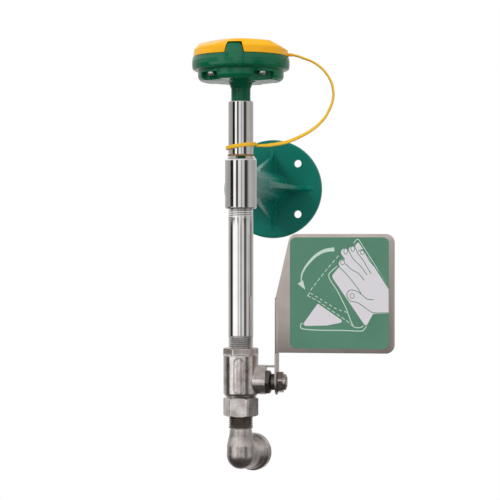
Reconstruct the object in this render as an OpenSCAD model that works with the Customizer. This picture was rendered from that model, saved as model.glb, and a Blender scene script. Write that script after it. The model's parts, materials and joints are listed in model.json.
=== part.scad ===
// Wall-mounted eye and face wash on a half-inch pipe column: bracket, column,
// ball valve with a push flag, street elbow and a capped spray head.
// Units are millimetres. The wall is the plane y = 0 and the front faces -y.

/* [Wall bracket] */
// Distance from the wall to the centre of the pipe
bracket_reach = 229; // [190:1:280]
// Diameter of the round wall flange
flange_diameter = 98; // [88:1:120]
// Thickness of the wall flange
flange_thickness = 7; // [5:0.5:10]
// Diameter of the bolt circle
bolt_circle = 71; // [60:0.5:80]
// Diameter of each bolt hole
bolt_hole = 7.5; // [5:0.5:9]
// Diameter of the hub where it meets the coupling
hub_diameter = 24; // [19:0.5:27]
// Diameter of the hub at the flange
hub_root_diameter = 29; // [24:0.5:34]
// Thickness of each rib
rib_thickness = 5.5; // [4:0.5:8]
// Length of the ribs along the hub
rib_length = 136; // [80:1:150]
// Height of the ribs from the hub axis at the flange
rib_height = 36; // [28:1:40]
// Diameter of the stud that joins bracket and coupling
stud_diameter = 10; // [8:0.5:12]

/* [Pipe column] */
// Outside diameter of the pipe
pipe_diameter = 21.34; // [19:0.01:27]
// Bore of the pipe
pipe_bore = 15.8; // [13:0.1:16]
// Outside diameter of the coupling
coupling_diameter = 27.1; // [26:0.1:36]
// Length of the coupling
coupling_length = 45; // [40:1:60]
// Height of the coupling's middle above the bracket axis
coupling_rise = -2; // [-6:0.5:6]
// Depth that a pipe end screws in
thread_depth_in = 13.5; // [10:0.5:15]
// Visible length of the tube above the coupling
upper_tube_length = 46.7; // [35:0.1:80]
// Visible length of the nipple below the coupling
lower_nipple_length = 118.5; // [60:0.5:150]
// Pitch of the pipe thread
thread_pitch = 1.814; // [1.2:0.001:2.2]
// Depth of the visible thread grooves
thread_groove = 0.9; // [0.4:0.1:1.2]

/* [Spray head] */
// Diameter of the bowl
bowl_diameter = 73.2; // [66:0.1:84]
// Height of the bowl below its rim
bowl_height = 9.4; // [8:0.1:14]
// Diameter of the rim band
rim_diameter = 83.8; // [78:0.1:100]
// Height of the rim band
rim_height = 11.1; // [9.5:0.1:14]
// Wall of the rim band
rim_wall = 3.4; // [2.5:0.1:4]
// Visible length of the threaded stem
head_stem_length = 16.8; // [14:0.1:30]
// Diameter of the threaded stem
head_stem_diameter = 16.4; // [14:0.1:17]
// Bore of the threaded stem
head_stem_bore = 11; // [8:0.1:12]
// Diameter of the water chamber in the bowl
chamber_diameter = 52; // [40:1:54]
// Thickness of the spray plate
spray_plate_thickness = 4; // [3:0.5:5]
// Diameter of each spray disc
spray_disc_diameter = 19; // [14:0.5:20]
// Distance between the spray discs
spray_disc_spacing = 30; // [22:1:32]
// Width of a screw recess
recess_width = 20; // [10:0.5:22]
// Angle of the screw recesses from the front and the back, in degrees
recess_angle = 41; // [35:1:45]
// Height of a screw recess above the bowl's bottom
recess_height = 6.2; // [5:0.1:8]
// Width of the front tab at its foot
tab_width = 15.7; // [10:0.1:20]
// Height of the front tab above the rim
tab_height = 8.9; // [5:0.1:9.4]

/* [Dust cover] */
// Height of the cover's side up to its shoulder
cover_side = 11.4; // [9.6:0.1:14]
// Rise of the cover's top from shoulder to middle
cover_rise = 5.4; // [2:0.1:9]
// Diameter of the cover at its shoulder
cover_shoulder = 72.4; // [64:0.1:78]
// Wall of the cover
cover_wall = 1.8; // [1.4:0.1:2.5]
// Width of the tether strap
strap_width = 3.2; // [2.4:0.1:5]
// Thickness of the tether strap
strap_thickness = 1.9; // [1.2:0.1:2.5]

/* [Ball valve] */
// Length of the valve along the pipe
valve_length = 58; // [54:0.5:70]
// Size of the valve's hexagons across the flats
valve_hex = 26.7; // [26.4:0.1:34]
// Diameter of the round valve body
valve_body_diameter = 29.8; // [28:0.1:36]
// Height of the upper hexagon
upper_hex_height = 5.6; // [4:0.1:9]
// Height of the lower hexagon
lower_hex_height = 16.7; // [14:0.1:18]
// Diameter of the stem boss
boss_diameter = 21.2; // [19:0.1:24]
// Height of the boss's flat top above the stem
boss_top = 14.3; // [12:0.1:17]
// Width of the boss's flat top
boss_top_width = 10; // [6:0.5:14]
// Height of the flag's stop tab above the stem
stop_height = 13.4; // [12.9:0.1:18]
// Reach of the stem boss from the pipe axis
boss_reach = 22; // [21:0.5:28]
// Diameter of the ball
ball_diameter = 19; // [17:0.1:20]
// Diameter of the port through the ball
port_diameter = 12.7; // [9:0.1:13]
// Diameter of the stem
stem_diameter = 9.5; // [7:0.1:10]
// Size of the packing nut across the flats
packing_nut_size = 19; // [17:0.5:21]
// Height of the packing nut's hexagon
packing_nut_height = 4; // [3:0.5:6]

/* [Push flag] */
// Thickness of the flag sheet
flag_sheet = 1.6; // [1:0.1:2.5]
// Width of the flag beyond the arm
flag_width = 101.3; // [80:0.1:140]
// Height of the flag
flag_height = 100.2; // [80:0.1:140]
// Height of the flag's lower edge above the stem
flag_lift = 25.7; // [20:0.1:40]
// Width of the arm
arm_width = 21.5; // [16:0.5:26]
// Gap between the packing nut and the arm, filled by the spacer
arm_gap = 4.1; // [3:0.1:8]
// Radius of the flag's corners
flag_corner = 7.3; // [3:0.1:12]
// Outer radius of the bend between arm and flag
flag_bend = 3; // [2.6:0.1:5]
// Border of bare metal around the label
label_border = 4.4; // [2:0.1:10]
// Width across the flats of the lock nut
lock_nut_size = 16.5; // [13:0.5:20]
// Height of the lock nut's hexagon
lock_nut_height = 4.2; // [3:0.1:7]

/* [Inlet elbow] */
// Turn of the inlet away from the wall direction, in degrees
elbow_turn = 18; // [0:1:90]
// Visible length of the elbow's male thread
elbow_thread_length = 10.6; // [8:0.1:16]
// Drop from the valve to the axis of the inlet
elbow_drop = 33.5; // [28:0.5:40]
// Reach of the inlet from the pipe axis
elbow_reach = 28.4; // [26:0.1:40]
// Diameter of the bead around the inlet
elbow_bead = 32.4; // [28:0.1:36]
// Bore of the inlet thread
inlet_bore = 20.4; // [18:0.1:22]
// Length of the inlet thread
inlet_length = 14; // [10:0.5:16]

/* [Hidden] */
$fn = 96;
fit = 0.05;                      // radial gap of pieces that screw or slide together
run = 0.3;                       // gap between pieces of different bodies
pipe_r = pipe_diameter / 2;
coup_r = max(coupling_diameter / 2, pipe_r + 2.6); // keeps its wall over a wider pipe
coup_top = coupling_rise + coupling_length / 2;
coup_bot = coupling_rise - coupling_length / 2;
coup_mid_r = min(pipe_r - 1.3, coup_r - 2.5);
tube_top = coup_top + upper_tube_length;
tube_bot = coup_top - thread_depth_in;
nip_top = coup_bot + thread_depth_in;
valve_top = coup_bot - lower_nipple_length;
valve_bot = valve_top - valve_length;
valve_in = 12;                   // screwed depth in each valve end
nip_bot = valve_top - valve_in;
stem_z = (valve_top + valve_bot) / 2;
hub_end = bracket_reach - coup_r; // hub length up to the coupling

bowl_bot = tube_top + head_stem_length;
rim_bot = bowl_bot + bowl_height;
rim_top = rim_bot + rim_height;
rim_r = rim_diameter / 2;
rim_in = rim_r - rim_wall;
bowl_r = bowl_diameter / 2;
stem_r = head_stem_diameter / 2;
stem_in = 12;                    // screwed depth of the head's stem
chamber_r = min(chamber_diameter / 2, bowl_r - 10.6); // leaves room for the screws
gasket_t = 0.8;
shelf_z = rim_top - 1.2 - spray_plate_thickness - gasket_t;
plate_z = shelf_z + gasket_t;
plate_top = plate_z + spray_plate_thickness;
screw_rho = (chamber_r + bowl_r) / 2 + 1;
recess_top = bowl_bot + recess_height;
screw_angles = [recess_angle - 90, 90 - recess_angle, 90 + recess_angle, 270 - recess_angle];
recess_depth = bowl_r - chamber_r - 2.6;
screw_r = 1.9;
screw_tip = plate_top - 1.2;

cover_bot = rim_top + run;
cover_r = rim_r - 1.4;
cover_sh_r = cover_shoulder / 2;
cover_sh_z = cover_bot + cover_side;
cover_top = cover_sh_z + cover_rise;
lug_x = 44.5;                    // where the strap leaves the cover
lug_z = 106;
loop_z = 29;
loop_tilt = 8;
loop_r = pipe_r + run + 0.3;

hex_af = max(valve_hex, pipe_diameter + 5.2); // keeps its wall over a wider pipe
valve_r = max(valve_body_diameter / 2, pipe_r + 3);
ball_r = ball_diameter / 2;
port_r = port_diameter / 2;
seat_h = ball_r + 1;             // half height of the seat stack
seat_r = ball_r + 0.7;
vstem_r = stem_diameter / 2;
collar_x = seat_r + 0.2;         // stem collar inside the boss
collar_r = vstem_r + 2.2;
collar_t = 2;
washer_t = 0.8;
wall_x = collar_x + collar_t + washer_t + fit;
pack_x = wall_x + 2.2;
pack_r = vstem_r + 2.25;
pack_len = 3.2;
nut_x = boss_reach;              // seat of the packing nut
spacer_x = nut_x + packing_nut_height + run;
arm_x = boss_reach + packing_nut_height + arm_gap;
lock_x = arm_x + flag_sheet + 0.8;
stem_end = lock_x + lock_nut_height + 3;
arm_y = -arm_width / 2 - 0.2;    // front face of the flag
flag_bot = stem_z + flag_lift;
flag_top = flag_bot + flag_height;
flag_end = arm_x + flag_width;
arm_top = flag_bot + 0.46 * flag_height;
flag_lean = 10.8;                // sideways run of the slanted edge

elbow_z = valve_bot - elbow_drop;
elbow_male_r = pipe_r - 0.3;
elbow_body_r = 11.5;
elbow_bore_r = 6.6;

strap_pts = [[44.5, 106], [49.3, 104.9], [53.4, 103.2], [58.3, 101.5], [63.2, 99], [68, 95.5],
  [71.9, 91.5], [75.3, 86.6], [77.6, 81.8], [78.7, 76.9], [79.2, 72], [78.6, 67.1],
  [77.3, 62.8], [74.8, 57.5], [71.9, 52.6], [68, 48.3], [63.2, 44], [57.3, 40.1],
  [50.4, 36.5], [43.6, 33.6], [36.7, 31.5], [29.8, 30.4], [23, 29.5], [17, 29.3],
  [13.3, 29]];

module at_pipe() { translate([0, -bracket_reach, 0]) children(); }
module at_stem() { translate([0, -bracket_reach, stem_z]) children(); }
module along_x(x0, x1, r, fn = 96) {
  translate([x0, 0, 0]) rotate([0, 90, 0]) cylinder(h = x1 - x0, r = r, $fn = fn);
}
module along_y(y0, y1, r) {
  translate([0, y0, 0]) rotate([-90, 0, 0]) cylinder(h = y1 - y0, r = r);
}
module tube(z0, z1, r, b) {
  rotate_extrude() translate([b, z0]) square([r - b, z1 - z0]);
}
// Hexagon along z, flats facing the front, with turned corners at both ends
module hexagon(z0, z1, af, turn_lo, turn_hi) {
  cr = af / sqrt(3);
  intersection() {
    translate([0, 0, z0]) cylinder(h = z1 - z0, r = cr, $fn = 6);
    rotate_extrude() polygon([[0, z0], [cr - turn_lo, z0], [cr + 0.1, z0 + turn_lo * 0.6],
      [cr + 0.1, z1 - turn_hi * 0.6], [cr - turn_hi, z1], [0, z1]]);
  }
}
// Outline of a thread seen from the side, from z0 upwards
function ridges(r, z0, n, d) = [for (i = [0 : n - 1])
  each [[r, z0 + (i + 0.12) * thread_pitch], [r - d, z0 + (i + 0.5) * thread_pitch],
    [r, z0 + (i + 0.88) * thread_pitch]]];

module wall_bracket() color("#006b58") difference() {
  union() {
    along_y(-flange_thickness, 0, flange_diameter / 2);
    translate([0, -hub_end - coup_r, 0]) rotate([-90, 0, 0])
      cylinder(h = hub_end + coup_r - flange_thickness / 2, r1 = hub_diameter / 2,
        r2 = hub_root_diameter / 2);
    for (a = [0 : 90 : 270]) rotate([0, a, 0]) translate([0, 0, -rib_thickness / 2])
      linear_extrude(height = rib_thickness)
        polygon([[0, -flange_thickness / 2], [rib_height + 5, -flange_thickness / 2],
          [rib_height + 5, -flange_thickness - 0.3], [rib_height, -flange_thickness - 1.8],
          [rib_height - 3.5, -flange_thickness - 6],
          [hub_diameter / 2 - 1, -flange_thickness - rib_length],
          [0, -flange_thickness - rib_length]]);
  }
  at_pipe() cylinder(h = 4 * hub_diameter, r = coup_r + fit, center = true);
  translate([0, -bracket_reach - 3 * coup_r, -50]) translate([-50, 0, 0])
    cube([100, 3 * coup_r, 100]);
  along_y(-hub_end - coup_r, -hub_end + 26, stud_diameter / 2 + fit);
  for (a = [45 : 90 : 315]) rotate([0, a, 0])
    translate([bolt_circle / 2, 0, 0]) along_y(-flange_thickness - 30, 1, bolt_hole / 2);
}

module bracket_stud() color("#9a9a9a") intersection() {
  along_y(-bracket_reach + coup_mid_r, -hub_end + 25, stud_diameter / 2);
  difference() {
    translate([-20, -bracket_reach, -20]) cube([40, 90, 40]);
    at_pipe() cylinder(h = 60, r = coup_mid_r + 0.4, center = true);
  }
}

module coupling() color("#d8d8d8") difference() {
  at_pipe() rotate_extrude() polygon([
    [coup_mid_r, nip_top], [pipe_r + fit, nip_top], [pipe_r + fit, coup_bot],
    [coup_r - 1.2, coup_bot], [coup_r, coup_bot + 1.2], [coup_r, coup_top - 3.2],
    [coup_r - 2.4, coup_top], [pipe_r + fit, coup_top], [pipe_r + fit, tube_bot],
    [coup_mid_r, tube_bot]]);
  along_y(-bracket_reach, -hub_end + 5, stud_diameter / 2 + fit);
}

module sealant_ring() color("#8a5a3c") at_pipe() rotate_extrude()
  polygon([[pipe_r + fit, coup_top], [pipe_r + 0.5, coup_top],
    [pipe_r + 0.4, coup_top + 0.7], [pipe_r + fit, coup_top + 0.9]]);

module upper_tube() color("#d0d0d0") at_pipe() difference() {
  rotate_extrude() polygon([[pipe_bore / 2, tube_bot], [pipe_r - 0.8, tube_bot],
    [pipe_r, tube_bot + 1], [pipe_r, tube_top - 0.8], [pipe_r - 0.8, tube_top],
    [pipe_bore / 2, tube_top]]);
  translate([0, 0, tube_top - stem_in - 0.5])
    cylinder(h = stem_in + 5, r = stem_r + fit);
}

module lower_nipple() color("#d0d0d0") at_pipe() rotate_extrude() polygon(concat(
  [[pipe_bore / 2, nip_bot], [pipe_r - 0.8, nip_bot], [pipe_r, nip_bot + 0.9]],
  ridges(pipe_r, valve_top, 6, thread_groove),
  ridges(pipe_r, coup_bot - 4.2 * thread_pitch, 4, thread_groove),
  [[pipe_r, nip_top - 0.9], [pipe_r - 0.8, nip_top], [pipe_bore / 2, nip_top]]));

module valve_body() color("#a59b90") at_pipe() difference() {
  union() {
    hexagon(valve_top - upper_hex_height, valve_top, hex_af, 0, 1.4);
    translate([0, 0, valve_bot + lower_hex_height])
      cylinder(h = valve_length - upper_hex_height - lower_hex_height, r = valve_r);
    translate([0, 0, stem_z]) rotate([90, 0, 90]) linear_extrude(height = boss_reach) union() {
      circle(d = boss_diameter);
      polygon([[-boss_top_width / 2, boss_top], [-0.485 * boss_diameter, 2],
        [0.485 * boss_diameter, 2], [boss_top_width / 2, boss_top]]);
    }
    translate([0, 0, stem_z + 5.8]) rotate([90, 0, 0]) linear_extrude(height = valve_r + 0.6)
      union() {
        square([8.2, 30.7 - 8.2], center = true);
        for (s = [-1, 1]) translate([0, s * (30.7 - 8.2) / 2]) circle(d = 8.2);
      }
  }
  // the rest of the raised outline is sunk again so only its border stands proud
  translate([0, -valve_r + 0.1, stem_z + 5.8]) rotate([90, 0, 0]) linear_extrude(height = 5)
    union() {
      square([6.2, 28.7 - 6.2], center = true);
      for (s = [-1, 1]) translate([0, s * (28.7 - 6.2) / 2]) circle(d = 6.2);
    }
  translate([0, 0, valve_top - valve_in - 0.5]) cylinder(h = valve_in + 5, r = pipe_r + fit);
  translate([0, 0, stem_z]) cylinder(h = valve_length, r = port_r + 0.3);
  translate([0, 0, valve_bot - 1]) cylinder(h = stem_z - valve_bot + 1 + seat_h, r = seat_r);
  translate([0, 0, stem_z]) {
    along_x(0, wall_x, collar_r + 0.3);
    along_x(0, boss_reach + 1, vstem_r + fit);
    along_x(pack_x, boss_reach + 1, pack_r);
  }
}

module valve_end() color("#a59b90") at_pipe() difference() {
  union() {
    hexagon(valve_bot, valve_bot + lower_hex_height - fit, hex_af, 1.6, 2.4);
    tube(valve_bot + 1, stem_z - seat_h - fit, seat_r - fit, 0.5);
  }
  translate([0, 0, valve_bot - 1]) cylinder(h = valve_in + 1.5, r = elbow_male_r + fit);
  translate([0, 0, valve_bot - 1]) cylinder(h = valve_length, r = port_r + 0.3);
}

module seat(up) {
  translate([0, 0, stem_z]) difference() {
    tube(up ? 0.62 * ball_r : -seat_h, up ? seat_h : -0.62 * ball_r, seat_r - fit, port_r + 0.3);
    sphere(r = ball_r + 0.08);
  }
}
module seat_upper() color("#f2f2ee") at_pipe() seat(true);
module seat_lower() color("#f2f2ee") at_pipe() seat(false);

module thrust_washer() color("#f2f2ee") at_stem() difference() {
  along_x(collar_x + collar_t + fit, wall_x, collar_r + 0.2);
  along_x(0, wall_x + 1, vstem_r + fit);
}

module stem_packing() color("#e9e6dc") at_stem() difference() {
  along_x(pack_x, pack_x + pack_len, pack_r - fit);
  along_x(0, boss_reach, vstem_r + fit);
}

module packing_nut() color("#b08d57") at_stem() difference() {
  union() {
    along_x(pack_x + pack_len + fit, nut_x + 1, pack_r - fit);
    rotate([0, 90, 0]) rotate([0, 0, 30])
      hexagon(nut_x, nut_x + packing_nut_height, packing_nut_size, 0.4, 2.6);
  }
  along_x(0, nut_x + 20, vstem_r + fit);
}

module valve_ball() color("#dcdcdc") at_stem() difference() {
  rotate([90, 0, 0]) rotate([0, 0, 90]) rotate_extrude() intersection() {
    circle(r = ball_r);
    translate([port_r, -ball_r]) square([ball_r, 2 * ball_r]);
  }
  translate([port_r + 0.9, -ball_r, -1.4]) cube([ball_r, 2 * ball_r, 2.8]);
}

module valve_stem() color("#c8c0b0") at_stem() union() {
  translate([port_r + 1.1, -4, -1.3]) cube([collar_x - port_r - 1, 8, 2.6]);
  along_x(collar_x, collar_x + collar_t, collar_r);
  along_x(collar_x + collar_t - 0.1, stem_end - 0.6, vstem_r);
  translate([stem_end - 0.6, 0, 0]) rotate([0, 90, 0])
    cylinder(h = 0.6, r1 = vstem_r, r2 = vstem_r - 0.6);
}

module stem_spacer() color("#8d8578") at_stem() difference() {
  along_x(spacer_x, arm_x, vstem_r + 2.2);
  along_x(spacer_x - 1, arm_x + 1, vstem_r + fit);
}

// Front view of the flag in x and z, with its slanted inner edge
module flag_outline(o) {
  rise = flag_top - flag_corner - arm_top;
  l = sqrt(flag_lean * flag_lean + rise * rise);
  ux = flag_lean / l;
  uz = rise / l;
  r = flag_corner - o;
  cz = flag_top - flag_corner;
  cx = arm_x + 0.9 + (cz + flag_corner * ux - arm_top) * flag_lean / rise + flag_corner * uz;
  ex = flag_end - flag_corner;
  bz = flag_bot + flag_corner;
  x0 = arm_x + flag_bend;
  union() {
    polygon([[x0, flag_bot + o], [x0, arm_top], [arm_x + 0.9 + o * uz, arm_top - o * ux],
      [cx - r * uz, cz + r * ux], [cx, cz + r], [ex, cz + r], [ex + r, cz], [ex + r, bz],
      [ex, bz - r]]);
    translate([cx, cz]) circle(r = r);
    translate([ex, cz]) circle(r = r);
    translate([ex, bz]) circle(r = r);
  }
}

module push_flag() color("#b0a49c") at_pipe() difference() {
  union() {
    // plate
    translate([0, arm_y + flag_sheet, 0]) rotate([90, 0, 0])
      linear_extrude(height = flag_sheet) flag_outline(0);
    // bend
    translate([arm_x + flag_bend, arm_y + flag_bend, flag_bot]) difference() {
      cylinder(h = arm_top - flag_bot, r = flag_bend);
      translate([0, 0, -1]) cylinder(h = flag_height, r = flag_bend - flag_sheet);
      translate([0, -2 * flag_bend, -1]) cube([4 * flag_bend, 4 * flag_bend, flag_height]);
      translate([-2 * flag_bend, 0, -1]) cube([4 * flag_bend, 4 * flag_bend, flag_height]);
    }
    // arm
    translate([arm_x, arm_y + flag_bend, flag_bot])
      cube([flag_sheet, arm_width / 2 - arm_y - flag_bend, arm_top - flag_bot]);
    translate([arm_x, -arm_width / 2, stem_z])
      cube([flag_sheet, arm_width, flag_bot - stem_z + 0.01]);
    translate([0, 0, stem_z]) along_x(arm_x, arm_x + flag_sheet, arm_width / 2);
    // stop tab bent back towards the boss
    translate([boss_reach + run, -3, stem_z + stop_height - flag_sheet / 2])
      cube([arm_x - boss_reach - run + 0.4, 6, flag_sheet]);
  }
  translate([0, 0, stem_z]) along_x(arm_x - 1, arm_x + flag_sheet + 1, vstem_r + fit);
}

module flag_label() color("#50856c") at_pipe()
  translate([0, arm_y, 0]) rotate([90, 0, 0]) linear_extrude(height = 0.2)
    union() {
      x0 = arm_x + 13.3;
      x1 = flag_end - label_border - 0.4;
      z0 = flag_bot + label_border - 0.6;
      z1 = flag_top - label_border + 1.6;
      r = flag_corner - 2.3;
      translate([x0 + r, z0]) square([x1 - x0 - 2 * r, z1 - z0]);
      translate([x0, z0 + r]) square([x1 - x0, z1 - z0 - 2 * r]);
      for (x = [x0 + r, x1 - r]) for (z = [z0 + r, z1 - r]) translate([x, z]) circle(r = r);
    }

module lock_washer() color("#a8a29a") at_stem() difference() {
  along_x(arm_x + flag_sheet, lock_x, lock_nut_size / 2 + 0.6);
  along_x(arm_x, lock_x + 1, vstem_r + fit);
}

module lock_nut() color("#a8a29a") at_stem() difference() {
  union() {
    rotate([0, 90, 0]) rotate([0, 0, 15])
      hexagon(lock_x, lock_x + lock_nut_height, lock_nut_size, 0.6, 1);
    along_x(lock_x + 1, lock_x + lock_nut_height + 2.4, vstem_r + 2.1);
  }
  along_x(lock_x - 1, stem_end + 5, vstem_r + fit);
}

module street_elbow() color("#a0968c") at_pipe() rotate([0, 0, -elbow_turn]) difference() {
  union() {
    rotate_extrude() polygon(concat([[0, elbow_z], [elbow_body_r, elbow_z],
      [elbow_body_r, elbow_z + 5], [9.1, elbow_z + 12], [8.85, valve_bot - elbow_thread_length - 1.5],
      [elbow_male_r, valve_bot - elbow_thread_length]],
      ridges(elbow_male_r, valve_bot - 5.6 * thread_pitch, 6, thread_groove),
      [[elbow_male_r, valve_bot + valve_in - 0.9], [elbow_male_r - 0.8, valve_bot + valve_in],
      [0, valve_bot + valve_in]]));
    translate([0, 0, elbow_z]) {
      sphere(r = elbow_body_r + 0.5);
      rotate([-90, 0, 0]) rotate_extrude() polygon([[0, 0], [elbow_body_r + 0.5, 0],
        [elbow_body_r + 1.6, elbow_reach - inlet_length - 1], [elbow_bead / 2 - 1.7, elbow_reach - 9],
        [elbow_bead / 2 - 1.7, elbow_reach - 7.5], [elbow_bead / 2, elbow_reach - 6],
        [elbow_bead / 2, elbow_reach - 0.8], [elbow_bead / 2 - 0.8, elbow_reach], [0, elbow_reach]]);
    }
  }
  translate([0, 0, elbow_z]) {
    cylinder(h = elbow_drop + valve_in + 5, r = elbow_bore_r);
    sphere(r = elbow_bore_r);
    along_y(0, elbow_reach + 1, elbow_bore_r);
    along_y(elbow_reach - inlet_length, elbow_reach + 1, inlet_bore / 2);
  }
}

// Trapezoid of the front tab, grown all round by g and reaching down to z0
module tab_outline(z0, g) {
  polygon([[-tab_width / 2 - g, z0], [-tab_width / 2 - g, rim_top],
    [-tab_width / 2 + 2.4 - g, rim_top + tab_height + g],
    [tab_width / 2 - 2.4 + g, rim_top + tab_height + g],
    [tab_width / 2 + g, rim_top], [tab_width / 2 + g, z0]]);
}

module head_bowl() color("#0b6b45") at_pipe() difference() {
  union() {
    difference() {
      rotate_extrude() polygon(concat(
        [[0, tube_top - stem_in], [stem_r - 0.6, tube_top - stem_in],
          [stem_r, tube_top - stem_in + 0.8]],
        ridges(stem_r, tube_top + 0.4, 6, 0.7),
        [[stem_r + 0.9, bowl_bot - 3], [stem_r + 2, bowl_bot - 0.2], [bowl_r - 6.4, bowl_bot]],
        [for (t = [15 : 15 : 75]) [bowl_r - 6.4 + 6.4 * sin(t), bowl_bot + 6.4 - 6.4 * cos(t)]],
        [[bowl_r, bowl_bot + 6.4], [bowl_r, rim_bot], [rim_r - 1.2, rim_bot],
          [rim_r, rim_bot + 1], [rim_r, rim_top - 0.5], [rim_r - 0.5, rim_top],
          [0, rim_top]]));
      translate([0, 0, shelf_z]) cylinder(h = 30, r = rim_in);
      translate([0, 0, bowl_bot + 3]) cylinder(h = 30, r = chamber_r);
    }
    // front tab
    intersection() {
      translate([0, -rim_r / 2, 0]) rotate([90, 0, 0])
        linear_extrude(height = rim_r) tab_outline(rim_top - 1, 0);
      rotate_extrude() polygon([[rim_in, rim_top - 3], [rim_r, rim_top - 3], [rim_r, rim_top],
        [rim_r - 2.2, rim_top + tab_height], [rim_in - 1.4, rim_top + tab_height],
        [rim_in, rim_top]]);
    }
  }
  translate([0, 0, tube_top - stem_in - 1]) cylinder(h = 60, r = head_stem_bore / 2);
  for (a = screw_angles) rotate([0, 0, a]) {
    translate([bowl_r - recess_depth, -recess_width / 2, bowl_bot - 1])
      cube([recess_depth + 5, recess_width, recess_height + 1]);
    translate([screw_rho, 0, recess_top - 0.1]) cylinder(h = 30, r = screw_r + fit);
  }
}

module head_gasket() color("#222222") at_pipe() difference() {
  tube(shelf_z, plate_z, rim_in - fit, chamber_r + 0.8);
  for (a = screw_angles) rotate([0, 0, a])
    translate([screw_rho, 0, shelf_z - 1]) cylinder(h = 5, r = screw_r + fit);
}

module spray_plate() color("#0b6b45") at_pipe() difference() {
  translate([0, 0, plate_z]) cylinder(h = spray_plate_thickness, r = rim_in - fit);
  for (s = [-1, 1]) translate([s * spray_disc_spacing / 2, 0, plate_z - 1])
    cylinder(h = 20, r = spray_disc_diameter / 2 - 2);
  for (a = [0 : 45 : 315]) rotate([0, 0, a + 22.5])
    translate([chamber_r - 1.6, 0, plate_z - 1]) cylinder(h = 20, r = 0.8);
  for (a = screw_angles) rotate([0, 0, a])
    translate([screw_rho, 0, plate_z - 1]) cylinder(h = screw_tip - plate_z + 1.2, r = screw_r + fit);
}

module spray_discs() color("#2f8f66") at_pipe() for (s = [-1, 1])
  translate([s * spray_disc_spacing / 2, 0, 0]) difference() {
    union() {
      translate([0, 0, plate_z]) cylinder(h = spray_plate_thickness + 1, r = spray_disc_diameter / 2 - 2 - fit);
      translate([0, 0, plate_top]) cylinder(h = 1.8, r = spray_disc_diameter / 2);
    }
    translate([0, 0, plate_z - 1]) cylinder(h = 30, r = 0.9);
    for (a = [0 : 60 : 300]) rotate([0, 0, a])
      translate([spray_disc_diameter / 2 - 4.6, 0, plate_z - 1]) cylinder(h = 30, r = 0.9);
  }

module head_screws() color("#c9c9c9") at_pipe() for (a = screw_angles) rotate([0, 0, a])
  translate([screw_rho, 0, 0]) difference() {
    union() {
      translate([0, 0, recess_top - 3.2]) cylinder(h = 3.2, r = 3.3);
      translate([0, 0, recess_top - 0.1]) cylinder(h = screw_tip - recess_top + 0.1, r = screw_r);
    }
    translate([0, 0, recess_top - 4]) cylinder(h = 2.4, r = 1.5, $fn = 6);
  }

module flow_control() color("#e8e4d8") at_pipe() difference() {
  translate([0, 0, tube_top - 2]) cylinder(h = 6, r = head_stem_bore / 2 - fit);
  for (a = [0 : 120 : 240]) rotate([0, 0, a])
    translate([head_stem_bore / 4 + 0.2, 0, tube_top - 3]) cylinder(h = 8, r = 1.3);
}

module inlet_strainer() color("#c9c9c9") at_pipe() difference() {
  translate([0, 0, tube_top - stem_in + 1.5]) cylinder(h = stem_in - 4, r = head_stem_bore / 2 - fit);
  translate([0, 0, tube_top - stem_in + 1]) cylinder(h = stem_in - 4.3, r = head_stem_bore / 2 - 0.9);
  for (a = [0 : 90 : 270]) rotate([0, 0, a])
    translate([head_stem_bore / 4, 0, tube_top - stem_in]) cylinder(h = stem_in + 2, r = 0.9);
}

module strap_loop() color("#e3b43a") at_pipe() translate([0, 0, loop_z])
  rotate([0, -loop_tilt, 0]) tube(-strap_width / 2, strap_width / 2, loop_r + strap_thickness, loop_r);

module dust_cover() color("#f9b81e") at_pipe() union() {
  difference() {
    rotate_extrude() polygon([[0, cover_top - cover_wall], [cover_sh_r - cover_wall - 1.2, cover_sh_z - cover_wall],
      [cover_r - cover_wall, cover_bot], [cover_r, cover_bot], [cover_r - 0.5, cover_sh_z - 5],
      [cover_sh_r + 1.3, cover_sh_z - 1.1], [cover_sh_r - 0.8, cover_sh_z], [0, cover_top]]);
    translate([0, -rim_r / 2, 0]) rotate([90, 0, 0]) linear_extrude(height = rim_r)
      tab_outline(rim_top - 1, 0.6);
  }
  translate([cover_r - cover_wall + 0.2, -strap_width / 2 - 0.4, lug_z - 1.2])
    cube([lug_x - cover_r + cover_wall - 0.2, strap_width + 0.8, 2.4]);
}

// Flat strap swept along its points: eight corners a ring
strap_ring = [[0.5, 0.28], [0.28, 0.5], [-0.28, 0.5], [-0.5, 0.28], [-0.5, -0.28],
  [-0.28, -0.5], [0.28, -0.5], [0.5, -0.28]];
function strap_dir(i) = let (n = len(strap_pts) - 1, a = strap_pts[max(i - 1, 0)],
  b = strap_pts[min(i + 1, n)], d = i == 0 ? [1, 0] : i == n ? [-1, 0] : b - a) d / norm(d);
function strap_corner(i, c) = let (d = strap_dir(i))
  [strap_pts[i][0] - d[1] * c[1] * strap_thickness, c[0] * strap_width,
    strap_pts[i][1] + d[0] * c[1] * strap_thickness];
module cover_strap() color("#e3b43a") at_pipe() {
  n = len(strap_pts);
  polyhedron(
    points = [for (i = [0 : n - 1]) for (c = strap_ring) strap_corner(i, c)],
    faces = concat([[for (k = [0 : 7]) k]],
      [for (i = [0 : n - 2]) for (k = [0 : 7])
        each [[i * 8 + k, i * 8 + 8 + k, i * 8 + (k + 1) % 8],
          [i * 8 + (k + 1) % 8, i * 8 + 8 + k, i * 8 + 8 + (k + 1) % 8]]],
      [[for (k = [7 : -1 : 0]) (n - 1) * 8 + k]]));
}

wall_bracket();
bracket_stud();
coupling();
sealant_ring();
upper_tube();
lower_nipple();
valve_body();
valve_end();
seat_upper();
seat_lower();
thrust_washer();
stem_packing();
packing_nut();
valve_ball();
valve_stem();
stem_spacer();
push_flag();
flag_label();
lock_washer();
lock_nut();
street_elbow();
head_bowl();
head_gasket();
spray_plate();
spray_discs();
head_screws();
flow_control();
inlet_strainer();
strap_loop();
dust_cover();
cover_strap();
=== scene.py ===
import json
import math

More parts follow.
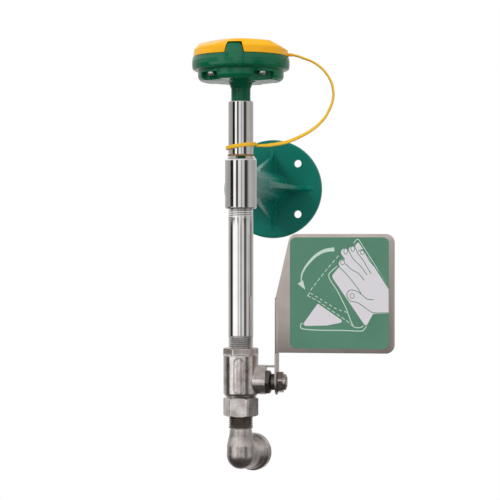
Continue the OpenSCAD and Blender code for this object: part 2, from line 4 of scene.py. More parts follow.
import bmesh
import bpy
from mathutils import Matrix, Vector, noise


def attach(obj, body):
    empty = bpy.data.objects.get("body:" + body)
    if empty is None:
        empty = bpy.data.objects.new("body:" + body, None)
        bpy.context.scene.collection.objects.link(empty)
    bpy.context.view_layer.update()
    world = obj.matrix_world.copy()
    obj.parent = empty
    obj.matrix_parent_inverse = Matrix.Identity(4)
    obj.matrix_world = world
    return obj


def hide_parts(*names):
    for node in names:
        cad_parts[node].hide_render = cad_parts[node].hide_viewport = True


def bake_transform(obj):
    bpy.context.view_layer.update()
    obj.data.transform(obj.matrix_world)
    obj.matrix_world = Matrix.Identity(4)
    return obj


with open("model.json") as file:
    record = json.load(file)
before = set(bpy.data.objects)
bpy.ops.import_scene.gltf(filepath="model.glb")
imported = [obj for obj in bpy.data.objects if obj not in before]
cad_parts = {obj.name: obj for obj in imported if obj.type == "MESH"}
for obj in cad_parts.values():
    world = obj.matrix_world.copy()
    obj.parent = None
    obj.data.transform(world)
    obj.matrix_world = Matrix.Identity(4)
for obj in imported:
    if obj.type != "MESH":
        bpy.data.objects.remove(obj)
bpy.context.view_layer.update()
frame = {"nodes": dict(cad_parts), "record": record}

MM = 0.001
REACH = 229.0                      # wall to pipe axis
DROP = -6.0                        # height of the column's own zero against the bracket axis
PIPE = (0.0, -REACH, DROP)
STEM_Z = -166.0                    # height of the valve stem in the column's own heights
STEM = (0.0, -REACH, STEM_Z + DROP)
TURN = math.radians(18.0)          # how far the inlet is turned aside
ELBOW_Z = -228.5                   # height of the inlet's axis in the column's own heights
PIPE_PITCH = 1.814                 # pitch of the half-inch pipe thread
SCREW_ANGLES, SCREW_CIRCLE = (-49, 49, 131, 229), 32.3
POCKET_TOP = 96.2                  # roof of the pockets that the head screws sit in
BOLT_CIRCLE = 35.5                 # radius of the circle of wall bolts
VALVE_FLATS = 26.7                 # across the flats of both valve hexagons
STRAP_WIDE, STRAP_THICK = 3.15, 1.7
scene = bpy.context.scene
scene.view_settings.view_transform = "Standard"


# ---------------------------------------------------------------- camera and cord route
CAMERA_TURN = math.radians(7.8)    # how far the camera stands to the right of the front
CAMERA_TILT = math.radians(0.238)
CAMERA_ASIDE, CAMERA_AWAY, CAMERA_HEIGHT = 0.0078, 1.354, -0.054    # from the pipe axis, in metres
CAMERA_LENS, CAMERA_SENSOR = 114.19, 36.0


def add_camera():
    right = Vector((math.cos(CAMERA_TURN), math.sin(CAMERA_TURN), 0))
    back = Vector((math.sin(CAMERA_TURN), -math.cos(CAMERA_TURN), 0))
    look = -back * math.cos(CAMERA_TILT) - Vector((0, 0, math.sin(CAMERA_TILT)))
    up = right.cross(look)
    data = bpy.data.cameras.new("camera")
    data.lens, data.sensor_width = CAMERA_LENS, CAMERA_SENSOR
    cam = bpy.data.objects.new("camera", data)
    spot = Vector((0, -REACH * MM, CAMERA_HEIGHT)) + back * CAMERA_AWAY + right * CAMERA_ASIDE
    turned_to = Matrix((right, up, -look)).transposed().to_4x4()
    cam.matrix_world = Matrix.Translation(spot) @ turned_to
    scene.collection.objects.link(cam)
    scene.camera = cam


add_camera()

STRAP_ROUTE = [(x * MM, -REACH * MM, z * MM) for x, z in (
    (44.5, 106), (49.3, 104.9), (53.4, 103.2), (58.3, 101.5), (63.2, 99), (68, 95.5), (71.9, 91.5),
    (75.3, 86.6), (77.6, 81.8), (78.7, 76.9), (79.2, 72), (78.6, 67.1), (77.3, 62.8), (74.8, 57.5),
    (71.9, 52.6), (68, 48.3), (63.2, 44), (57.3, 40.1), (50.4, 36.5), (43.6, 33.6), (36.7, 31.5),
    (29.8, 30.4), (23, 29.5), (17, 29.3), (13.3, 29))]


# ---------------------------------------------------------------- material makers
class Shading:
    """A shader node tree with short words for its nodes."""

    def __init__(self, owner):
        owner.use_nodes = True
        self.nodes, self.links = owner.node_tree.nodes, owner.node_tree.links

    def feed(self, socket, value):
        if isinstance(value, bpy.types.NodeSocket):
            self.links.new(value, socket)
        elif isinstance(value, tuple):
            socket.default_value = (*value, 1)
        else:
            socket.default_value = value

    def ramp(self, value, stops):
        """Colours along a 0 to 1 value."""
        node = self.nodes.new("ShaderNodeValToRGB")
        while len(node.color_ramp.elements) < len(stops):
            node.color_ramp.elements.new(0.5)
        for element, (at, colour) in zip(node.color_ramp.elements, stops):
            element.position = at
            element.color = (*colour, 1)
        self.feed(node.inputs["Fac"], value)
        return node.outputs["Color"]

    def spread(self, value, low, high, from_low=0.3, from_high=0.7):
        """Maps one range of a value to another."""
        node = self.nodes.new("ShaderNodeMapRange")
        ends = {"From Min": from_low, "From Max": from_high, "To Min": low, "To Max": high}
        for label, number in ends.items():
            node.inputs[label].default_value = number
        self.feed(node.inputs["Value"], value)
        return node.outputs["Result"]

    def mixed(self, factor, low, high):
        node = self.nodes.new("ShaderNodeMix")
        node.data_type = "RGBA"
        for place, value in ((0, factor), (6, low), (7, high)):
            self.feed(node.inputs[place], value)
        return node.outputs[2]

    def math(self, what, a, b=None):
        node = self.nodes.new("ShaderNodeMath")
        node.operation = what
        self.feed(node.inputs[0], a)
        if b is not None:
            self.feed(node.inputs[1], b)
        return node.outputs[0]


class Finish(Shading):
    """A material whose patterns lie on the object's own coordinates."""

    def __init__(self, name, metallic=0.0, coat=0.0, coat_rough=0.1, spec=0.5):
        self.material = bpy.data.materials.new(name)
        super().__init__(self.material)
        self.shader = self.nodes["Principled BSDF"].inputs
        values = {"Metallic": metallic, "IOR": 1.5, "Specular IOR Level": spec,
                  "Coat Weight": coat, "Coat Roughness": coat_rough}
        for label, value in values.items():
            self.shader[label].default_value = value
        self.place = self.nodes.new("ShaderNodeTexCoord").outputs["Object"]

    def grain(self, scale, detail=None, rough=0.5, stretch=None):
        """A noise pattern, or cells when no detail is given."""
        source = self.place
        if stretch:
            mapping = self.nodes.new("ShaderNodeMapping")
            mapping.inputs["Scale"].default_value = stretch
            self.links.new(source, mapping.inputs["Vector"])
            source = mapping.outputs["Vector"]
        tex = self.nodes.new("ShaderNodeTexNoise" if detail else "ShaderNodeTexVoronoi")
        if detail:
            tex.inputs["Detail"].default_value = detail
            tex.inputs["Roughness"].default_value = rough
        tex.inputs["Scale"].default_value = scale
        self.links.new(source, tex.inputs["Vector"])
        return tex.outputs["Fac" if detail else "Distance"]

    def relief(self, layers):
        """Stacks bumps: each layer is a value, a strength and a depth in metres."""
        last = None
        for value, strength, depth in layers:
            bump = self.nodes.new("ShaderNodeBump")
            bump.inputs["Strength"].default_value = strength
            bump.inputs["Distance"].default_value = depth
            self.links.new(value, bump.inputs["Height"])
            if last:
                self.links.new(last, bump.inputs["Normal"])
            last = bump.outputs["Normal"]
        self.links.new(last, self.shader["Normal"])


def finish(name, patterns, tones, rough, bumps=(), at=0.3, over=None, **kind):
    """A material from named patterns: tones, rough, bumps and over each name the one they follow."""
    f = Finish(name, **kind)
    made = {key: f.grain(*sizes) for key, sizes in patterns.items()}
    follows, low, high = tones
    colour = f.ramp(made[follows], ((at, low), (1 - at, high)))
    if over:
        follows, amounts, stain = over
        colour = f.mixed(f.spread(made[follows], *amounts), colour, stain)
    f.links.new(colour, f.shader["Base Color"])
    follows, low, high = rough
    f.links.new(f.spread(made[follows], low, high), f.shader["Roughness"])
    if bumps:
        f.relief([(made[follows], strength, depth) for follows, strength, depth in bumps])
    return f.material


def yellow(name, low, high, rough):
    bumps = [("flow", 0.14, 0.0003), ("pebble", 0.06, 0.00006)]
    return finish(name, {"cloud": (26, 3), "pebble": (700, 2), "flow": (80, 3)}, ("cloud", low, high),
                  ("flow", rough, rough + 0.12), bumps, spec=0.25)


def plated(name, dark, light, rough, cast):
    patterns = {"cloud": (95, 5, 0.6), "sand": (520, 4, 0.7), "pits": (900,), "stain": (38, 4, 0.6)}
    bumps = [("cloud", 0.35 * cast, 0.0006), ("sand", 0.35 * cast, 0.0002), ("pits", 0.10 * cast, 0.0001)]
    return finish(name, patterns, ("cloud", dark, light), ("sand", rough, rough + 0.15), bumps, at=0.28,
                  over=("stain", (0.0, 0.55, 0.52, 0.78), tuple(c * 0.5 for c in dark)), metallic=1.0)


def ink(name, colour):
    return finish(name, {"speck": (1100, 3)}, ("speck", tuple(c * 0.94 for c in colour), colour),
                  ("speck", 0.40, 0.52))


def plain_finish(name, low, high, rough, scale):
    return finish(name, {"cloud": (scale, 4)}, ("cloud", low, high), ("cloud", rough, rough + 0.12),
                  [("cloud", 0.12, 0.0002)])


CHROME = finish(
    "bright_chrome", {"haze": (60, 4), "fine": (900, 2)},
    ("haze", (0.76, 0.75, 0.745), (0.86, 0.855, 0.85)), ("haze", 0.025, 0.05),
    [("haze", 0.03, 0.0005), ("fine", 0.012, 0.00004)], metallic=1.0)
GREEN_PAINT = finish(
    "green_enamel_on_casting", {"cloud": (22, 4), "sand": (420, 4, 0.65), "swell": (75, 3)},
    ("cloud", (0.0, 0.125, 0.092), (0.0, 0.175, 0.130)), ("sand", 0.20, 0.34),
    [("swell", 0.35, 0.0007), ("sand", 0.22, 0.00022)], spec=0.2)
GREEN_PLASTIC = finish(
    "green_moulded_plastic", {"cloud": (30, 3), "pebble": (650, 2), "flow": (90, 3, 0.5, (1, 1, 2.5))},
    ("cloud", (0.0, 0.100, 0.044), (0.0, 0.135, 0.060)), ("flow", 0.10, 0.18),
    [("flow", 0.16, 0.0003), ("pebble", 0.05, 0.00006)], spec=0.4)
YELLOW = yellow("yellow_moulded_plastic", (0.84, 0.385, 0.004), (0.95, 0.46, 0.008), 0.22)
STRAP_YELLOW = yellow("yellow_strap_plastic", (0.78, 0.445, 0.02), (0.90, 0.54, 0.035), 0.24)
PLATED = plated("nickel_plated_casting", (0.44, 0.39, 0.37), (0.90, 0.84, 0.825), 0.13, 0.6)
PLATED_ELBOW = plated("nickel_plated_elbow", (0.38, 0.34, 0.32), (0.76, 0.70, 0.69), 0.22, 0.6)
PLATED_NUT = plated("nickel_plated_nut", (0.38, 0.33, 0.30), (0.64, 0.57, 0.53), 0.14, 0.5)
# a darker copy of the plated metal for the elbow's male thread
THREAD_METAL = plated("dark_thread_metal", (0.15, 0.125, 0.115), (0.34, 0.295, 0.28), 0.2, 0.5)
# a darker copy of the chrome for the lower nipple thread: painted shade on the thread
THREAD_CHROME_PAINTED_SHADE = plated("thread_chrome_with_painted_shade", (0.50, 0.49, 0.49), (0.72, 0.71, 0.71), 0.10, 0.15)
SHEET = finish(
    "brushed_stainless_sheet",
    {"lines": (300, 3, 0.6, (1.0, 1.0, 0.03)), "cloud": (24, 4), "smear": (70, 5, 0.6)},
    ("cloud", (0.54, 0.48, 0.45), (0.66, 0.595, 0.565)), ("smear", 0.34, 0.46),
    [("lines", 0.10, 0.00005), ("smear", 0.05, 0.0002)],
    over=("lines", (0.0, 0.22), (0.74, 0.68, 0.64)), metallic=1.0)
LABEL = finish(
    "printed_label_film", {"cloud": (30, 3), "speck": (1400, 2)},
    ("cloud", (0.074, 0.215, 0.137), (0.092, 0.246, 0.160)), ("speck", 0.34, 0.46),
    [("speck", 0.05, 0.00003)], coat=0.1, coat_rough=0.3)
WHITE_PRINT = ink("pale_print", (0.74, 0.71, 0.75))
MINT_PRINT = ink("mint_print", (0.58, 0.74, 0.64))
GREEN_PRINT = ink("green_line_print", (0.085, 0.225, 0.150))
DARK_METAL = finish(
    "dark_plated_steel", {"cloud": (160, 4), "fine": (800, 3)},
    ("cloud", (0.10, 0.09, 0.085), (0.26, 0.24, 0.22)), ("fine", 0.28, 0.48),
    [("fine", 0.15, 0.0001)], metallic=1.0)
STEEL = finish(
    "bright_machined_steel", {"rings": (700, 3, 0.5, (1, 1, 4))},
    ("rings", (0.60, 0.59, 0.57), (0.76, 0.75, 0.73)), ("rings", 0.16, 0.30),
    [("rings", 0.08, 0.00006)], metallic=1.0)
# brown of the thread sealant, darkened as a painted shadow line where the tube enters the coupling and warmed
# as a painted reflection of the yellow strap
SEALANT_AND_PAINTED_SHADOW = finish(
    "thread_sealant_with_painted_shadow", {"lump": (420, 5, 0.7)}, ("lump", (0.16, 0.075, 0.018), (0.36, 0.20, 0.06)),
    ("lump", 0.5, 0.8), [("lump", 0.6, 0.0004)], spec=0.15)
SEAT_PLASTIC = plain_finish("pale_seat_plastic", (0.78, 0.78, 0.74), (0.88, 0.88, 0.85), 0.35, 90)
RUBBER = plain_finish("black_rubber", (0.012, 0.012, 0.012), (0.03, 0.03, 0.03), 0.55, 200)

FINISH_OF_SLOT = {
    "green_paint": GREEN_PAINT, "steel": STEEL, "chrome": CHROME, "sealant": SEALANT_AND_PAINTED_SHADOW,
    "plated_brass": PLATED, "plated_elbow": PLATED_ELBOW, "seat_plastic": SEAT_PLASTIC,
    "dark_metal": DARK_METAL, "green_plastic": GREEN_PLASTIC, "black_rubber": RUBBER,
    "yellow_strap": STRAP_YELLOW, "yellow_plastic": YELLOW, "stainless_sheet": SHEET, "label_film": LABEL}


# ---------------------------------------------------------------- shape makers
LONG_STRETCH, EXTRA_ROW = 2.5, 0.25    # where a turned part gets extra rows, and how far from its corners
CONE_RISE = 0.6                        # how far a nut's end cone rises for each mm of radius


def rounded(points, radius, steps=4, closed=False):
    """A flat outline with its corners rounded."""
    out, count = [], len(points)
    for i, corner in enumerate(points):
        r = radius[i] if isinstance(radius, (list, tuple)) else radius
        p = Vector(corner)
        if r <= 0 or (not closed and i in (0, count - 1)):
            out.append(p)
            continue
        u, v = Vector(points[i - 1]) - p, Vector(points[(i + 1) % count]) - p
        short = min(u.length, v.length)
        u.normalize()
        v.normalize()
        half = math.acos(max(-1.0, min(1.0, u.dot(v)))) / 2
        if half > math.radians(88.5) or half < 1e-3:
            out.append(p)
            continue
        t = min(r / math.tan(half), 0.48 * short)
        c = p + (u + v).normalized() * (t * math.tan(half) / math.sin(half))
        a, b = p + u * t - c, p + v * t - c
        sweep = math.atan2(a.x * b.y - a.y * b.x, a.dot(b))
        for k in range(steps + 1):
            w = sweep * k / steps
            x = a.x * math.cos(w) - a.y * math.sin(w)
            y = a.x * math.sin(w) + a.y * math.cos(w)
            out.append(c + Vector((x, y)))
    return out


def smooth_line(points, steps=6):
    """A curve through the points, with steps pieces between each two of them."""
    pts = [Vector(p) for p in points]
    out, last = [], len(pts) - 1
    for i in range(last):
        a, b, c, d = pts[max(i - 1, 0)], pts[i], pts[i + 1], pts[min(i + 2, last)]
        for k in range(steps):
            t = k / steps
            square = (2 * a - 5 * b + 4 * c - d) * t * t
            out.append(0.5 * ((2 * b) + (c - a) * t + square + (3 * b - a - 3 * c + d) * t ** 3))
    out.append(pts[-1])
    return out


def bridge(bm, a, b):
    """Faces between two rings of points."""
    for k in range(len(a)):
        j = (k + 1) % len(a)
        bm.faces.new((a[k], a[j], b[j], b[k]))


ALONG = {"z": Matrix.Identity(3), "x": Matrix(((0, 0, 1), (0, 1, 0), (-1, 0, 0))),
         "y": Matrix(((1, 0, 0), (0, 0, 1), (0, -1, 0)))}


def to_object(name, bm, material, at=(0, 0, 0), along="z", sharp=32.0, turn=None):
    bmesh.ops.remove_doubles(bm, verts=bm.verts, dist=1e-4)
    bmesh.ops.recalc_face_normals(bm, faces=bm.faces)
    mesh = bpy.data.meshes.new(name)
    bm.to_mesh(mesh)
    bm.free()
    m = ALONG[along].to_4x4()
    if turn is not None:
        m = turn.to_4x4() @ m
    mesh.transform(Matrix.Scale(MM, 4) @ Matrix.Translation(Vector(at)) @ m)
    mesh.materials.append(material)
    obj = bpy.data.objects.new(name, mesh)
    scene.collection.objects.link(obj)
    soften(obj, sharp)
    return obj


def soften(obj, sharp=32.0):
    obj.data.shade_smooth()
    obj.data.set_sharp_from_angle(angle=math.radians(sharp))


def turned(name, profile, material, at=PIPE, along="z", steps=96, ring=False, sharp=32.0, wobble=None,
           turn=None):
    """A turned part: profile is (radius, height) in mm, ring closes the profile on itself.

    Long straight stretches get an extra row near each end, which keeps them straight in the shading.
    """
    bm = bmesh.new()
    rows, held = [], []
    points = [Vector(q) for q in profile]
    for k, q in enumerate(points):
        held.append(q)
        after = points[(k + 1) % len(points)]
        if (ring or k + 1 < len(points)) and (after - q).length > LONG_STRETCH:
            step = (after - q).normalized() * EXTRA_ROW
            held += [q + step, after - step]
    for r, z in held:
        if r < 1e-4:
            rows.append([bm.verts.new((0, 0, z))] * steps)
            continue
        row = []
        for k in range(steps):
            a = 2 * math.pi * k / steps
            rr = r if wobble is None else wobble(a, r, z)
            row.append(bm.verts.new((rr * math.cos(a), rr * math.sin(a), z)))
        rows.append(row)
    pairs = list(zip(rows, rows[1:])) + ([(rows[-1], rows[0])] if ring else [])
    for low, high in pairs:
        for k in range(steps):
            q = []
            for v in (low[k], low[(k + 1) % steps], high[(k + 1) % steps], high[k]):
                if v not in q:
                    q.append(v)
            if len(q) > 2:
                bm.faces.new(q)
    if not ring:
        for row in (rows[0], rows[-1]):
            if row[0] is not row[1]:
                bm.faces.new(row)
    return to_object(name, bm, material, at, along, sharp, turn)


def prism(name, outline, low, high, material, plane="xz", at=(0, 0, 0), turn=None):
    """A flat outline given thickness between low and high across its plane."""
    bm = bmesh.new()
    put = {"xz": lambda p, t: (p[0], t, p[1]), "yz": lambda p, t: (t, p[0], p[1]),
           "xy": lambda p, t: (p[0], p[1], t)}[plane]
    a = [bm.verts.new(put(p, low)) for p in outline]
    b = [bm.verts.new(put(p, high)) for p in outline]
    bm.faces.new(a)
    bm.faces.new(list(reversed(b)))
    for k in range(len(a)):
        j = (k + 1) % len(a)
        bm.faces.new((a[k], b[k], b[j], a[j]))
    return to_object(name, bm, material, at, turn=turn)


def plain(obj):
    """Turns the modifiers' result into the object's own plain mesh."""
    bpy.context.view_layer.update()
    deps = bpy.context.evaluated_depsgraph_get()
    shown = obj.evaluated_get(deps)
    mesh = bpy.data.meshes.new_from_object(shown, preserve_all_data_layers=True, depsgraph=deps)
    obj.modifiers.clear()
    obj.data = mesh
    return obj


def bevelled(obj, width, segments=2, angle=30.0):
    mod = obj.modifiers.new("bevel", "BEVEL")
    mod.width, mod.segments = width * MM, segments
    mod.limit_method, mod.angle_limit = "ANGLE", math.radians(angle)
    plain(obj)
    soften(obj, 40)
    return obj


def joined(name, *objs):
    """One object from several, each with its own material kept."""
    bm = bmesh.new()
    mats = []
    for o in objs:
        start = len(bm.faces)
        bm.from_mesh(o.data)
        bm.faces.ensure_lookup_table()
        for f in bm.faces[start:]:
            m = o.data.materials[min(f.material_index, len(o.data.materials) - 1)]
            if m not in mats:
                mats.append(m)
            f.material_index = mats.index(m)
    mesh = bpy.data.meshes.new(name)
    bm.to_mesh(mesh)
    bm.free()
    for m in mats:
        mesh.materials.append(m)
    for o in objs:
        bpy.data.objects.remove(o)
    out = bpy.data.objects.new(name, mesh)
    scene.collection.objects.link(out)
    return out


def fused(name, parts, voxel, relax, material):
    """Melts several solids into one casting with soft inner corners."""
    obj = joined(name, *parts)
    mod = obj.modifiers.new("fuse", "REMESH")
    mod.mode, mod.voxel_size = "VOXEL", voxel * MM
    smooth = obj.modifiers.new("relax", "SMOOTH")
    smooth.factor, smooth.iterations = 0.5, relax
    plain(obj)
    obj.data.materials.clear()
    obj.data.materials.append(material)
    soften(obj, 60)
    return obj


def carved(obj, cutters, sharp=40.0, solver="MANIFOLD"):
    """Cuts solids out of a piece, which keeps its own material."""
    for c in cutters:
        mod = obj.modifiers.new("cut", "BOOLEAN")
        mod.operation, mod.solver, mod.object = "DIFFERENCE", solver, c
    plain(obj)
    for c in cutters:
        bpy.data.objects.remove(c)
    first = obj.data.materials[0]
    obj.data.materials.clear()
    obj.data.materials.append(first)
    for f in obj.data.polygons:
        f.material_index = 0
    soften(obj, sharp)
    return obj


def hexagon(name, low, high, flats, cone_low, cone_high, material, at=PIPE, along="z", start=0.0,
            corner=0.35, bore=0.0):
    """A hexagonal bar with both ends turned to a cone, which leaves the curved edges of a real nut."""
    tip = flats / math.sqrt(3)
    tall_low, tall_high = cone_low * CONE_RISE, cone_high * CONE_RISE
    middle = high - low - CONE_RISE * (cone_low + cone_high)
    rows = [low + tall_low * k / 6 for k in range(7)] if cone_low else [low]
    rows += [low + tall_low + middle * k / 4 for k in range(1, 4)]
    rows += [high - tall_high * (6 - k) / 6 for k in range(7)] if cone_high else [high]
    bm = bmesh.new()
    steps, rings = 144, []
    around = [2 * math.pi * k / steps for k in range(steps)]
    for z in rows:
        limits = [tip + corner]
        if cone_low:
            limits.append(tip - cone_low + (z - low) / CONE_RISE)
        if cone_high:
            limits.append(tip - cone_high + (high - z) / CONE_RISE)
        row = []
        for a in around:
            side = (flats / 2) / math.cos((a - start) % (math.pi / 3) - math.pi / 6)
            r = min(side, tip - corner, *limits)
            row.append(bm.verts.new((r * math.cos(a), r * math.sin(a), z)))
        rings.append(row)
    for a, b in zip(rings, rings[1:]):
        bridge(bm, a, b)
    ends = []
    for row, z in ((rings[0], low), (rings[-1], high)):
        if bore:
            inner = [bm.verts.new((bore * math.cos(a), bore * math.sin(a), z)) for a in around]
            bridge(bm, row, inner)
            ends.append(inner)
        else:
            bm.faces.new(row)
    if bore:
        bridge(bm, *ends)
    return to_object(name, bm, material, at, along, 28.0)


# ---------------------------------------------------------------- node trees that build pieces
class Tree:
    """A geometry node tree with named inputs and short words for its nodes."""

    def __init__(self, name, inputs):
        self.tree = bpy.data.node_groups.new(name, "GeometryNodeTree")
        face = self.tree.interface
        face.new_socket("Geometry", in_out="INPUT", socket_type="NodeSocketGeometry")
        for label, kind, value in inputs:
            s = face.new_socket(label, in_out="INPUT", socket_type="NodeSocket" + kind)
            if value is not None:
                s.default_value = value
        face.new_socket("Geometry", in_out="OUTPUT", socket_type="NodeSocketGeometry")
        self.given = self.tree.nodes.new("NodeGroupInput").outputs

    def put(self, kind, **sockets):
        node = self.tree.nodes.new(kind)
        for label, value in sockets.items():
            self.feed(node.inputs[label.replace("_", " ")], value)
        return node

    def feed(self, socket, value):
        if isinstance(value, bpy.types.NodeSocket):
            self.tree.links.new(value, socket)
        else:
            socket.default_value = value

    def math(self, what, a, b=None, clamp=False):
        node = self.tree.nodes.new("ShaderNodeMath")
        node.operation, node.use_clamp = what, clamp
        self.feed(node.inputs[0], a)
        if b is not None:
            self.feed(node.inputs[1], b)
        return node.outputs[0]

    def laid(self, points, piece, rotation):
        """Copies of an object, one on each point."""
        info = self.put("GeometryNodeObjectInfo", Object=piece)
        return self.put("GeometryNodeInstanceOnPoints", Points=points, Instance=info.outputs["Geometry"],
                        Rotation=rotation).outputs[0]

    def end(self, geometry, finish):
        real = self.put("GeometryNodeRealizeInstances", Geometry=geometry)
        dressed = self.put("GeometryNodeSetMaterial", Geometry=real.outputs[0], Material=finish)
        out = self.tree.nodes.new("NodeGroupOutput")
        self.tree.links.new(dressed.outputs[0], out.inputs[0])
        return self.tree


def grown(name, tree, seed=None, **values):
    """Runs a tree and keeps its result as a plain mesh."""
    obj = bpy.data.objects.new(name, seed or bpy.data.meshes.new(name))
    scene.collection.objects.link(obj)
    mod = obj.modifiers.new("build", "NODES")
    mod.node_group = tree
    ids = {i.name: i.identifier for i in tree.interface.items_tree if i.in_out == "INPUT"}
    for label, value in values.items():
        mod[ids[label.replace("_", " ")]] = value
    return plain(obj)


def thread_tree():
    t = Tree("pipe_thread", [
        ("Radius", "Float", 10.0), ("Depth", "Float", 0.9), ("Pitch", "Float", PIPE_PITCH),
        ("Base", "Float", 0.0), ("Length", "Float", 10.0), ("Runout low", "Float", 1.0),
        ("Runout high", "Float", 1.0), ("Around", "Int", 97), ("Rows", "Int", 80),
        ("Finish", "Material", None)])
    g, m = t.given, t.math
    grid = t.put("GeometryNodeMeshGrid", Size_X=1.0, Size_Y=1.0, Vertices_X=g["Around"],
                 Vertices_Y=g["Rows"])
    spot = t.put("ShaderNodeSeparateXYZ", Vector=t.put("GeometryNodeInputPosition").outputs[0]).outputs
    round_ = m("ADD", spot[0], 0.5)
    height = m("MULTIPLY", m("ADD", spot[1], 0.5), g["Length"])
    phase = m("FRACT", m("SUBTRACT", m("ADD", m("DIVIDE", height, g["Pitch"]), 4.0), round_))
    saw = m("ABSOLUTE", m("SUBTRACT", m("MULTIPLY", phase, 2.0), 1.0))
    groove = m("SUBTRACT", m("MULTIPLY", m("SUBTRACT", 1.0, saw), 1.3), 0.14, clamp=True)
    low = m("DIVIDE", height, g["Runout low"], clamp=True)
    high = m("DIVIDE", m("SUBTRACT", g["Length"], height), g["Runout high"], clamp=True)
    depth = m("MULTIPLY", m("MULTIPLY", groove, g["Depth"]), m("MULTIPLY", low, high))
    radius = m("SUBTRACT", g["Radius"], depth)
    angle = m("MULTIPLY", round_, 2 * math.pi)
    where = t.put("ShaderNodeCombineXYZ", X=m("MULTIPLY", radius, m("COSINE", angle)),
                  Y=m("MULTIPLY", radius, m("SINE", angle)), Z=m("ADD", height, g["Base"]))
    moved = t.put("GeometryNodeSetPosition", Geometry=grid.outputs["Mesh"], Position=where.outputs[0])
    shut = t.put("GeometryNodeMergeByDistance", Geometry=moved.outputs[0], Distance=0.001)
    return t.end(shut.outputs[0], g["Finish"])


def marks_tree():
    t = Tree("pieces_on_marks", [
        ("Piece", "Object", None), ("Spin seed", "Int", 3), ("Finish", "Material", None)])
    g = t.given
    points = t.put("GeometryNodeMeshToPoints", Mesh=g["Geometry"])
    spin = t.tree.nodes.new("FunctionNodeRandomValue")
    spin.data_type = "FLOAT"
    t.feed(spin.inputs[2], 0.0)
    t.feed(spin.inputs[3], 3.0)
    t.feed(spin.inputs["Seed"], g["Spin seed"])
    turn = t.put("ShaderNodeCombineXYZ", Z=spin.outputs[1])
    return t.end(t.laid(points.outputs[0], g["Piece"], turn.outputs[0]), g["Finish"])


def ribs_tree():
    t = Tree("pieces_round_an_axis", [
        ("Piece", "Object", None), ("Count", "Int", 4), ("Axis", "Vector", (0, 1, 0)),
        ("First", "Float", 0.0), ("Finish", "Material", None)])
    g, m = t.given, t.math
    points = t.put("GeometryNodePoints", Count=g["Count"])
    index = t.put("GeometryNodeInputIndex").outputs[0]
    step = m("DIVIDE", 2 * math.pi, g["Count"])
    angle = m("ADD", g["First"], m("MULTIPLY", index, step))
    scale = t.put("ShaderNodeVectorMath")
    scale.operation = "SCALE"
    t.feed(scale.inputs[0], g["Axis"])
    t.feed(scale.inputs["Scale"], angle)
    return t.end(t.laid(points.outputs[0], g["Piece"], scale.outputs[0]), g["Finish"])


def dashes_tree():
    t = Tree("dashes_along_a_line", [
        ("Dash", "Float", 3.0), ("Gap", "Float", 1.2), ("Width", "Float", 0.7),
        ("Thickness", "Float", 0.05), ("Finish", "Material", None)])
    g, m = t.given, t.math
    line = t.put("GeometryNodeMeshToCurve", Mesh=g["Geometry"])
    points = t.put("GeometryNodeCurveToPoints", Curve=line.outputs[0])
    points.mode = "LENGTH"
    t.feed(points.inputs["Length"], m("ADD", g["Dash"], g["Gap"]))
    size = t.put("ShaderNodeCombineXYZ", X=g["Width"], Y=g["Thickness"], Z=g["Dash"])
    dash = t.put("GeometryNodeMeshCube", Size=size.outputs[0])
    face = t.tree.nodes.new("FunctionNodeAlignEulerToVector")
    face.axis = "Z"
    t.feed(face.inputs["Vector"], points.outputs["Tangent"])
    keep = t.tree.nodes.new("FunctionNodeAlignEulerToVector")
    keep.axis, keep.pivot_axis = "Y", "Z"
    t.feed(keep.inputs["Rotation"], face.outputs[0])
    t.feed(keep.inputs["Vector"], (0, 1, 0))
    laid = t.put("GeometryNodeInstanceOnPoints", Points=points.outputs["Points"],
                 Instance=dash.outputs["Mesh"], Rotation=keep.outputs[0])
    return t.end(laid.outputs[0], g["Finish"])


THREAD, MARKS, ROUND_AXIS, DASHES = thread_tree(), marks_tree(), ribs_tree(), dashes_tree()


def threaded(name, base, length, radius, material, depth=0.95, pitch=PIPE_PITCH, low=0.01, high=0.01,
             at=PIPE, along="z", turn=None, rows_a_turn=12):
    """A solid bar with a cut thread, closed at both ends."""
    obj = grown(name, THREAD, Radius=radius, Depth=depth, Pitch=pitch, Base=base, Length=length,
                Runout_low=low, Runout_high=high, Rows=int(length / pitch * rows_a_turn) + 1,
                Finish=material)
    bm = bmesh.new()
    bm.from_mesh(obj.data)
    bpy.data.objects.remove(obj)
    bmesh.ops.remove_doubles(bm, verts=bm.verts, dist=1e-3)
    bmesh.ops.holes_fill(bm, edges=[e for e in bm.edges if e.is_boundary], sides=0)
    return to_object(name, bm, material, at, along, 60.0, turn)


def belongs(obj, body, slot, *nodes):
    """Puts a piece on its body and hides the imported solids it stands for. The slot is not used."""
    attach(obj, body)
    if nodes:
        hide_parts(*nodes)
    return obj


# ---------------------------------------------------------------- dust cover, strap and loop
def make_strap():
    """The tether: a soft-edged band that follows the route and leans over toward the loop."""
    fine = smooth_line(STRAP_ROUTE, 3)
    corners = [math.radians(22.5 + 45 * k) for k in range(8)]
    section = [[math.copysign(abs(c) ** 0.6, c) * 0.5 for c in (math.cos(t), math.sin(t))] for t in corners]
    bm = bmesh.new()
    rings = []
    last = len(fine) - 1
    side = Vector((0, 1, 0))
    for i, p in enumerate(fine):
        d = (fine[min(i + 1, last)] - fine[max(i - 1, 0)]).normalized()
        out = side.cross(d).normalized()
        turn = math.radians(12 + 62 * (i / last) ** 1.6)
        flat = side * math.cos(turn) + out * math.sin(turn)
        thin = out * math.cos(turn) - side * math.sin(turn)
        wide = STRAP_WIDE * min(1.0, 0.5 + (last - i) / 14)
        thick = STRAP_THICK * (1 + 0.08 * noise.noise(Vector((i * 0.13, 0, 0))))
        rings.append([bm.verts.new((p + flat * (c * wide * MM) + thin * (e * thick * MM)) / MM)
                      for c, e in section])
    for a, b in zip(rings, rings[1:]):
        bridge(bm, a, b)
    bm.faces.new(rings[0])
    bm.faces.new(rings[-1])
    strap = to_object("tether_strap", bm, STRAP_YELLOW, sharp=70)
    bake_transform(strap)
    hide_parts("cover_strap")


